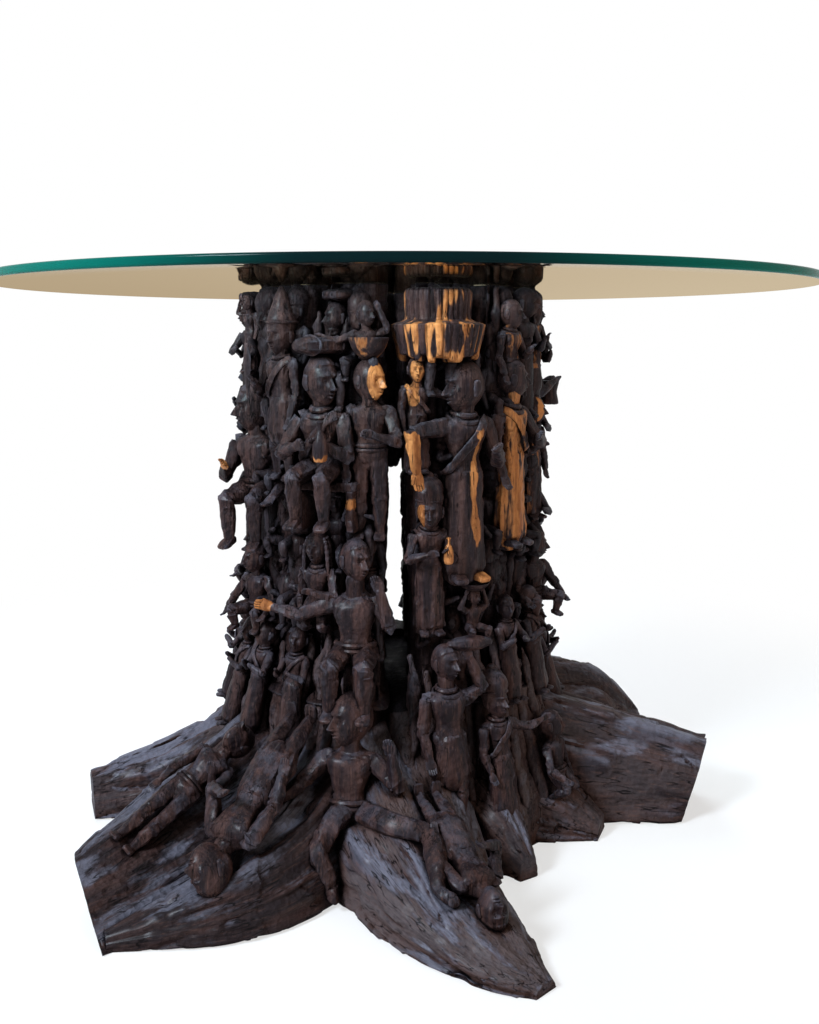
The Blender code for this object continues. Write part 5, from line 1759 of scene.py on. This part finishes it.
class ROOTTABLE_OT_people(PieceOperator):
    """Carve the people who stand, sit and crouch against the trunk"""

    bl_idname = "root_table.people"
    bl_label = "People on the trunk"

    def execute(self, context):
        sizes = context.scene.root_table_sizes
        wood = wood_look("blackwood_people")
        for number, row in enumerate(PEOPLE):
            carving = Carving()
            fine = BACK_FINE if 90.0 < row.angle < 270.0 else FRONT_FINE
            person(carving, row, on_trunk(sizes, row), row.size, sizes, 10.0 + number, fine)
            for knots in LIMBS.get(row.name, ()):
                limb = tube([(*knot, knot[3]) for knot in knots], DIAGONAL, 44, 18, box=LIMB_BOX)
                carving.add(pushed(limb, cuts(limb, sizes.knife_cut, sizes.knife_pitch, number)))
            carving.finish("carved_" + row.name, [wood], "base", (row.name,), sharp=CRISP)
        return {"FINISHED"}


class ROOTTABLE_OT_sleepers(PieceOperator):
    """Carve the people who lie along the roots"""

    bl_idname = "root_table.sleepers"
    bl_label = "People on the roots"

    def execute(self, context):
        sizes = context.scene.root_table_sizes
        wood = wood_look("blackwood_people")
        for number, entry in enumerate(SLEEPERS):
            carving = Carving()
            matrix, size = lying(entry.feet, entry.crown, entry.face)
            row = Person(entry.name, 0, 0.0, 0.0, size, entry.legs, entry.left, entry.right, entry.turn,
                         entry.hair, entry.dress, nod=SLEEPER_NOD)
            person(carving, row, matrix, size, sizes, 60.0 + number)
            carving.finish("carved_" + entry.name, [wood], "base", (entry.name,),
                           sharp=CRISP)
        return {"FINISHED"}


class ROOTTABLE_OT_crowd(PieceOperator):
    """Carve the lesser people in low relief that fill the wood between the main ones"""

    bl_idname = "root_table.crowd"
    bl_label = "Lesser people"

    def execute(self, context):
        sizes = context.scene.root_table_sizes
        wood = wood_look("blackwood_crowd")
        chance = np.random.default_rng(CROWD_SEED)
        for number, post in enumerate(POSTS):
            carving = Carving()
            span = post.right - post.left
            columns = 3 if span > CROWD_WIDE else 2
            calm = "front" in post.name
            edge = SLOT_EDGE if calm or "mid" in post.name else CROWD_EDGE
            for level, foot in enumerate(CROWD_FEET):
                stagger = CROWD_STAGGER if level % 2 else -CROWD_STAGGER
                for column in range(columns):
                    share = (column + 0.5 + stagger) / columns
                    angle = post.left + span * share + chance.uniform(-CROWD_STRAY, CROWD_STRAY)
                    angle = min(max(angle, post.left + edge), post.right - edge)
                    row = chance_person(sizes, chance, angle, foot, calm)
                    person(carving, row, on_trunk(sizes, row), row.size, sizes, 12 * number + level,
                           CROWD_FINE)
            carving.finish("crowd_" + post.name, [wood], "base")
        carving = Carving()
        for number, (angle, out, foot, size, lean, turn) in enumerate(STUMP_CROWD):
            row = Person("", angle, out, foot, size, "skirt", "hold", "folded", turn, "rows",
                         "collar sash", lean=lean)
            person(carving, row, on_trunk(sizes, row), size, sizes, 200.0 + number, STUMP_FINE)
        carving.finish("crowd_stump", [wood_look("blackwood_people")], "base")
        return {"FINISHED"}


class ROOTTABLE_OT_basket(PieceOperator):
    """Turn the striped basket with its neck, cut into upright slats"""

    bl_idname = "root_table.basket"
    bl_label = "Striped basket"

    def execute(self, context):
        sizes = context.scene.root_table_sizes
        grid = turned(BASKET, BASKET_SIDES, BASKET_ROWS)
        turn = np.linspace(0.0, BASKET_SLATS, BASKET_SIDES, endpoint=False)
        slat = np.floor(turn)
        seam = np.exp(-((turn - slat - 0.5) / 0.42) ** 8)
        lift = scatter(np.stack((slat, slat * 0.0, slat * 0.0), -1), 3.0)
        radius = np.linalg.norm(grid[..., :2], axis=-1, keepdims=True)
        away = grid[..., :2] / radius
        radius = radius - (SLAT_SEAM * (1.0 - seam) + SLAT_STEP * lift)[None, :, None]
        low = ease(-grid[..., 2], -0.668, -0.656)
        z = grid[..., 2] - SLAT_FRINGE * lift[None] * low
        middle = np.array(spot(sizes, BASKET_ANGLE, sizes.post_outer - BASKET_SUNK, 0.0))
        grid = np.concatenate((away * radius, z[..., None]), -1) + middle
        grid = pushed(grid, cuts(grid, depth=0.0006, width=0.007, salt=5.0))
        flames = lumps(drawn_out(grid, 0.25), depth=0.60, width=0.007, salt=7.0)
        stripe = np.where(lift > 0.40, 0.10, -0.42)[None] * seam[None] + flames
        stripe = stripe - 0.20 * ease(grid[..., 2], 0.694, 0.704)
        carving = Carving()
        carving.add(grid, pale=stripe)
        carving.finish("slatted_basket", [wood_look("sapwood_basket")], "base",
                       ("striped_basket",))
        return {"FINISHED"}


class ROOTTABLE_OT_stool(PieceOperator):
    """Cut the low stool: a squared seat board on two board legs"""

    bl_idname = "root_table.stool"
    bl_label = "Stool"

    def execute(self, context):
        sizes = context.scene.root_table_sizes
        turn = Matrix.Rotation(math.radians(STOOL_ANGLE), 4, "Z")
        place = Matrix.Translation(spot(sizes, STOOL_ANGLE, sizes.post_outer, 0.0)) @ turn
        parts = [tube(STOOL_SEAT, UP, 50, 40, box=STOOL_BOX)]
        for x in (-STOOL_LEG_X, STOOL_LEG_X):
            leg = [(share * x, *rest) for share, *rest in STOOL_LEG]
            parts.append(tube(leg, BACK, 30, 32, box=STOOL_BOX))
        carving = Carving()
        for number, part in enumerate(parts):
            world = placed(part, place, 1.0)
            world = pushed(world, cuts(world, sizes.knife_cut, sizes.knife_pitch, number))
            x, z = part[..., 0], part[..., 2]
            patch = np.exp(-((x - STOOL_LEG_X) / 0.010) ** 2 - ((z - 0.472) / 0.012) ** 2)
            carving.add(world, 0.8 * patch)
        carving.finish("carved_stool", [wood_look("blackwood_people")], "base",
                       ("stool",), sharp=45.0)
        return {"FINISHED"}


class ROOTTABLE_OT_stage(PieceOperator):
    """Set the pale floor, the soft lights, the white surroundings and the camera"""

    bl_idname = "root_table.stage"
    bl_label = "Stage"

    def execute(self, context):
        scene = context.scene
        colours = scene.root_table_colours
        mesh = bpy.data.meshes.new("floor")
        far = FLOOR_REACH
        mesh.from_pydata([(-far, -far, 0.0), (far, -far, 0.0), (far, far, 0.0), (-far, far, 0.0)], [],
                         [(0, 1, 2, 3)])
        mesh.materials.append(floor_look(colours))
        floor = bpy.data.objects.new("floor", mesh)
        scene.collection.objects.link(floor)
        scene.world = white_world()

        for name, at, size, power, tint in LAMPS:
            light = bpy.data.lights.new(name, "AREA")
            light.size = size
            light.energy = power
            light.color = getattr(colours, tint)
            lamp = bpy.data.objects.new(name, light)
            lamp.location = at
            lamp.rotation_euler = (Vector(LAMP_TARGET) - Vector(at)).to_track_quat("-Z", "Y").to_euler()
            lamp.visible_glossy = name == MIRRORED_LAMP
            lamp.visible_transmission = False
            scene.collection.objects.link(lamp)

        lens = bpy.data.cameras.new("photo_camera")
        lens.sensor_width = CAMERA_SENSOR
        lens.lens = CAMERA_LENS
        camera = bpy.data.objects.new("photo_camera", lens)
        camera.location = CAMERA_AT
        camera.rotation_euler = (math.radians(90.0 - CAMERA_DOWN), 0.0, 0.0)
        scene.collection.objects.link(camera)
        scene.camera = camera
        scene.view_settings.view_transform = "Standard"
        return {"FINISHED"}


PIECES = (ROOTTABLE_OT_glass, ROOTTABLE_OT_pads, ROOTTABLE_OT_stump, ROOTTABLE_OT_posts,
          ROOTTABLE_OT_roots, ROOTTABLE_OT_people, ROOTTABLE_OT_sleepers, ROOTTABLE_OT_crowd,
          ROOTTABLE_OT_basket, ROOTTABLE_OT_stool, ROOTTABLE_OT_stage)


class ROOTTABLE_PT_panel(bpy.types.Panel):
    """Sidebar panel that lists the sizes, the colours and the pieces"""

    bl_idname = "ROOTTABLE_PT_panel"
    bl_label = "Root Table"
    bl_space_type = "VIEW_3D"
    bl_region_type = "UI"
    bl_category = "Root Table"

    def draw(self, context):
        for group in (context.scene.root_table_sizes, context.scene.root_table_colours):
            box = self.layout.box()
            for name in group.__annotations__:
                box.prop(group, name)
        for piece in PIECES:
            self.layout.operator(piece.bl_idname)


CLASSES = (TableSizes, TableColours, *PIECES, ROOTTABLE_PT_panel)


def register():
    """Register the classes and hang the settings on the scene."""
    for made in CLASSES:
        bpy.utils.register_class(made)
    bpy.types.Scene.root_table_sizes = bpy.props.PointerProperty(type=TableSizes)
    bpy.types.Scene.root_table_colours = bpy.props.PointerProperty(type=TableColours)


def unregister():
    """Take the settings and the classes away again."""
    del bpy.types.Scene.root_table_sizes
    del bpy.types.Scene.root_table_colours
    for made in reversed(CLASSES):
        bpy.utils.unregister_class(made)


def main():
    """Register the add-on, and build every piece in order."""
    register()
    bpy.ops.root_table.glass()
    bpy.ops.root_table.pads()
    bpy.ops.root_table.stump()
    bpy.ops.root_table.posts()
    bpy.ops.root_table.roots()
    bpy.ops.root_table.people()
    bpy.ops.root_table.sleepers()
    bpy.ops.root_table.crowd()
    bpy.ops.root_table.basket()
    bpy.ops.root_table.stool()
    bpy.ops.root_table.stage()


if __name__ == "__main__":
    main()
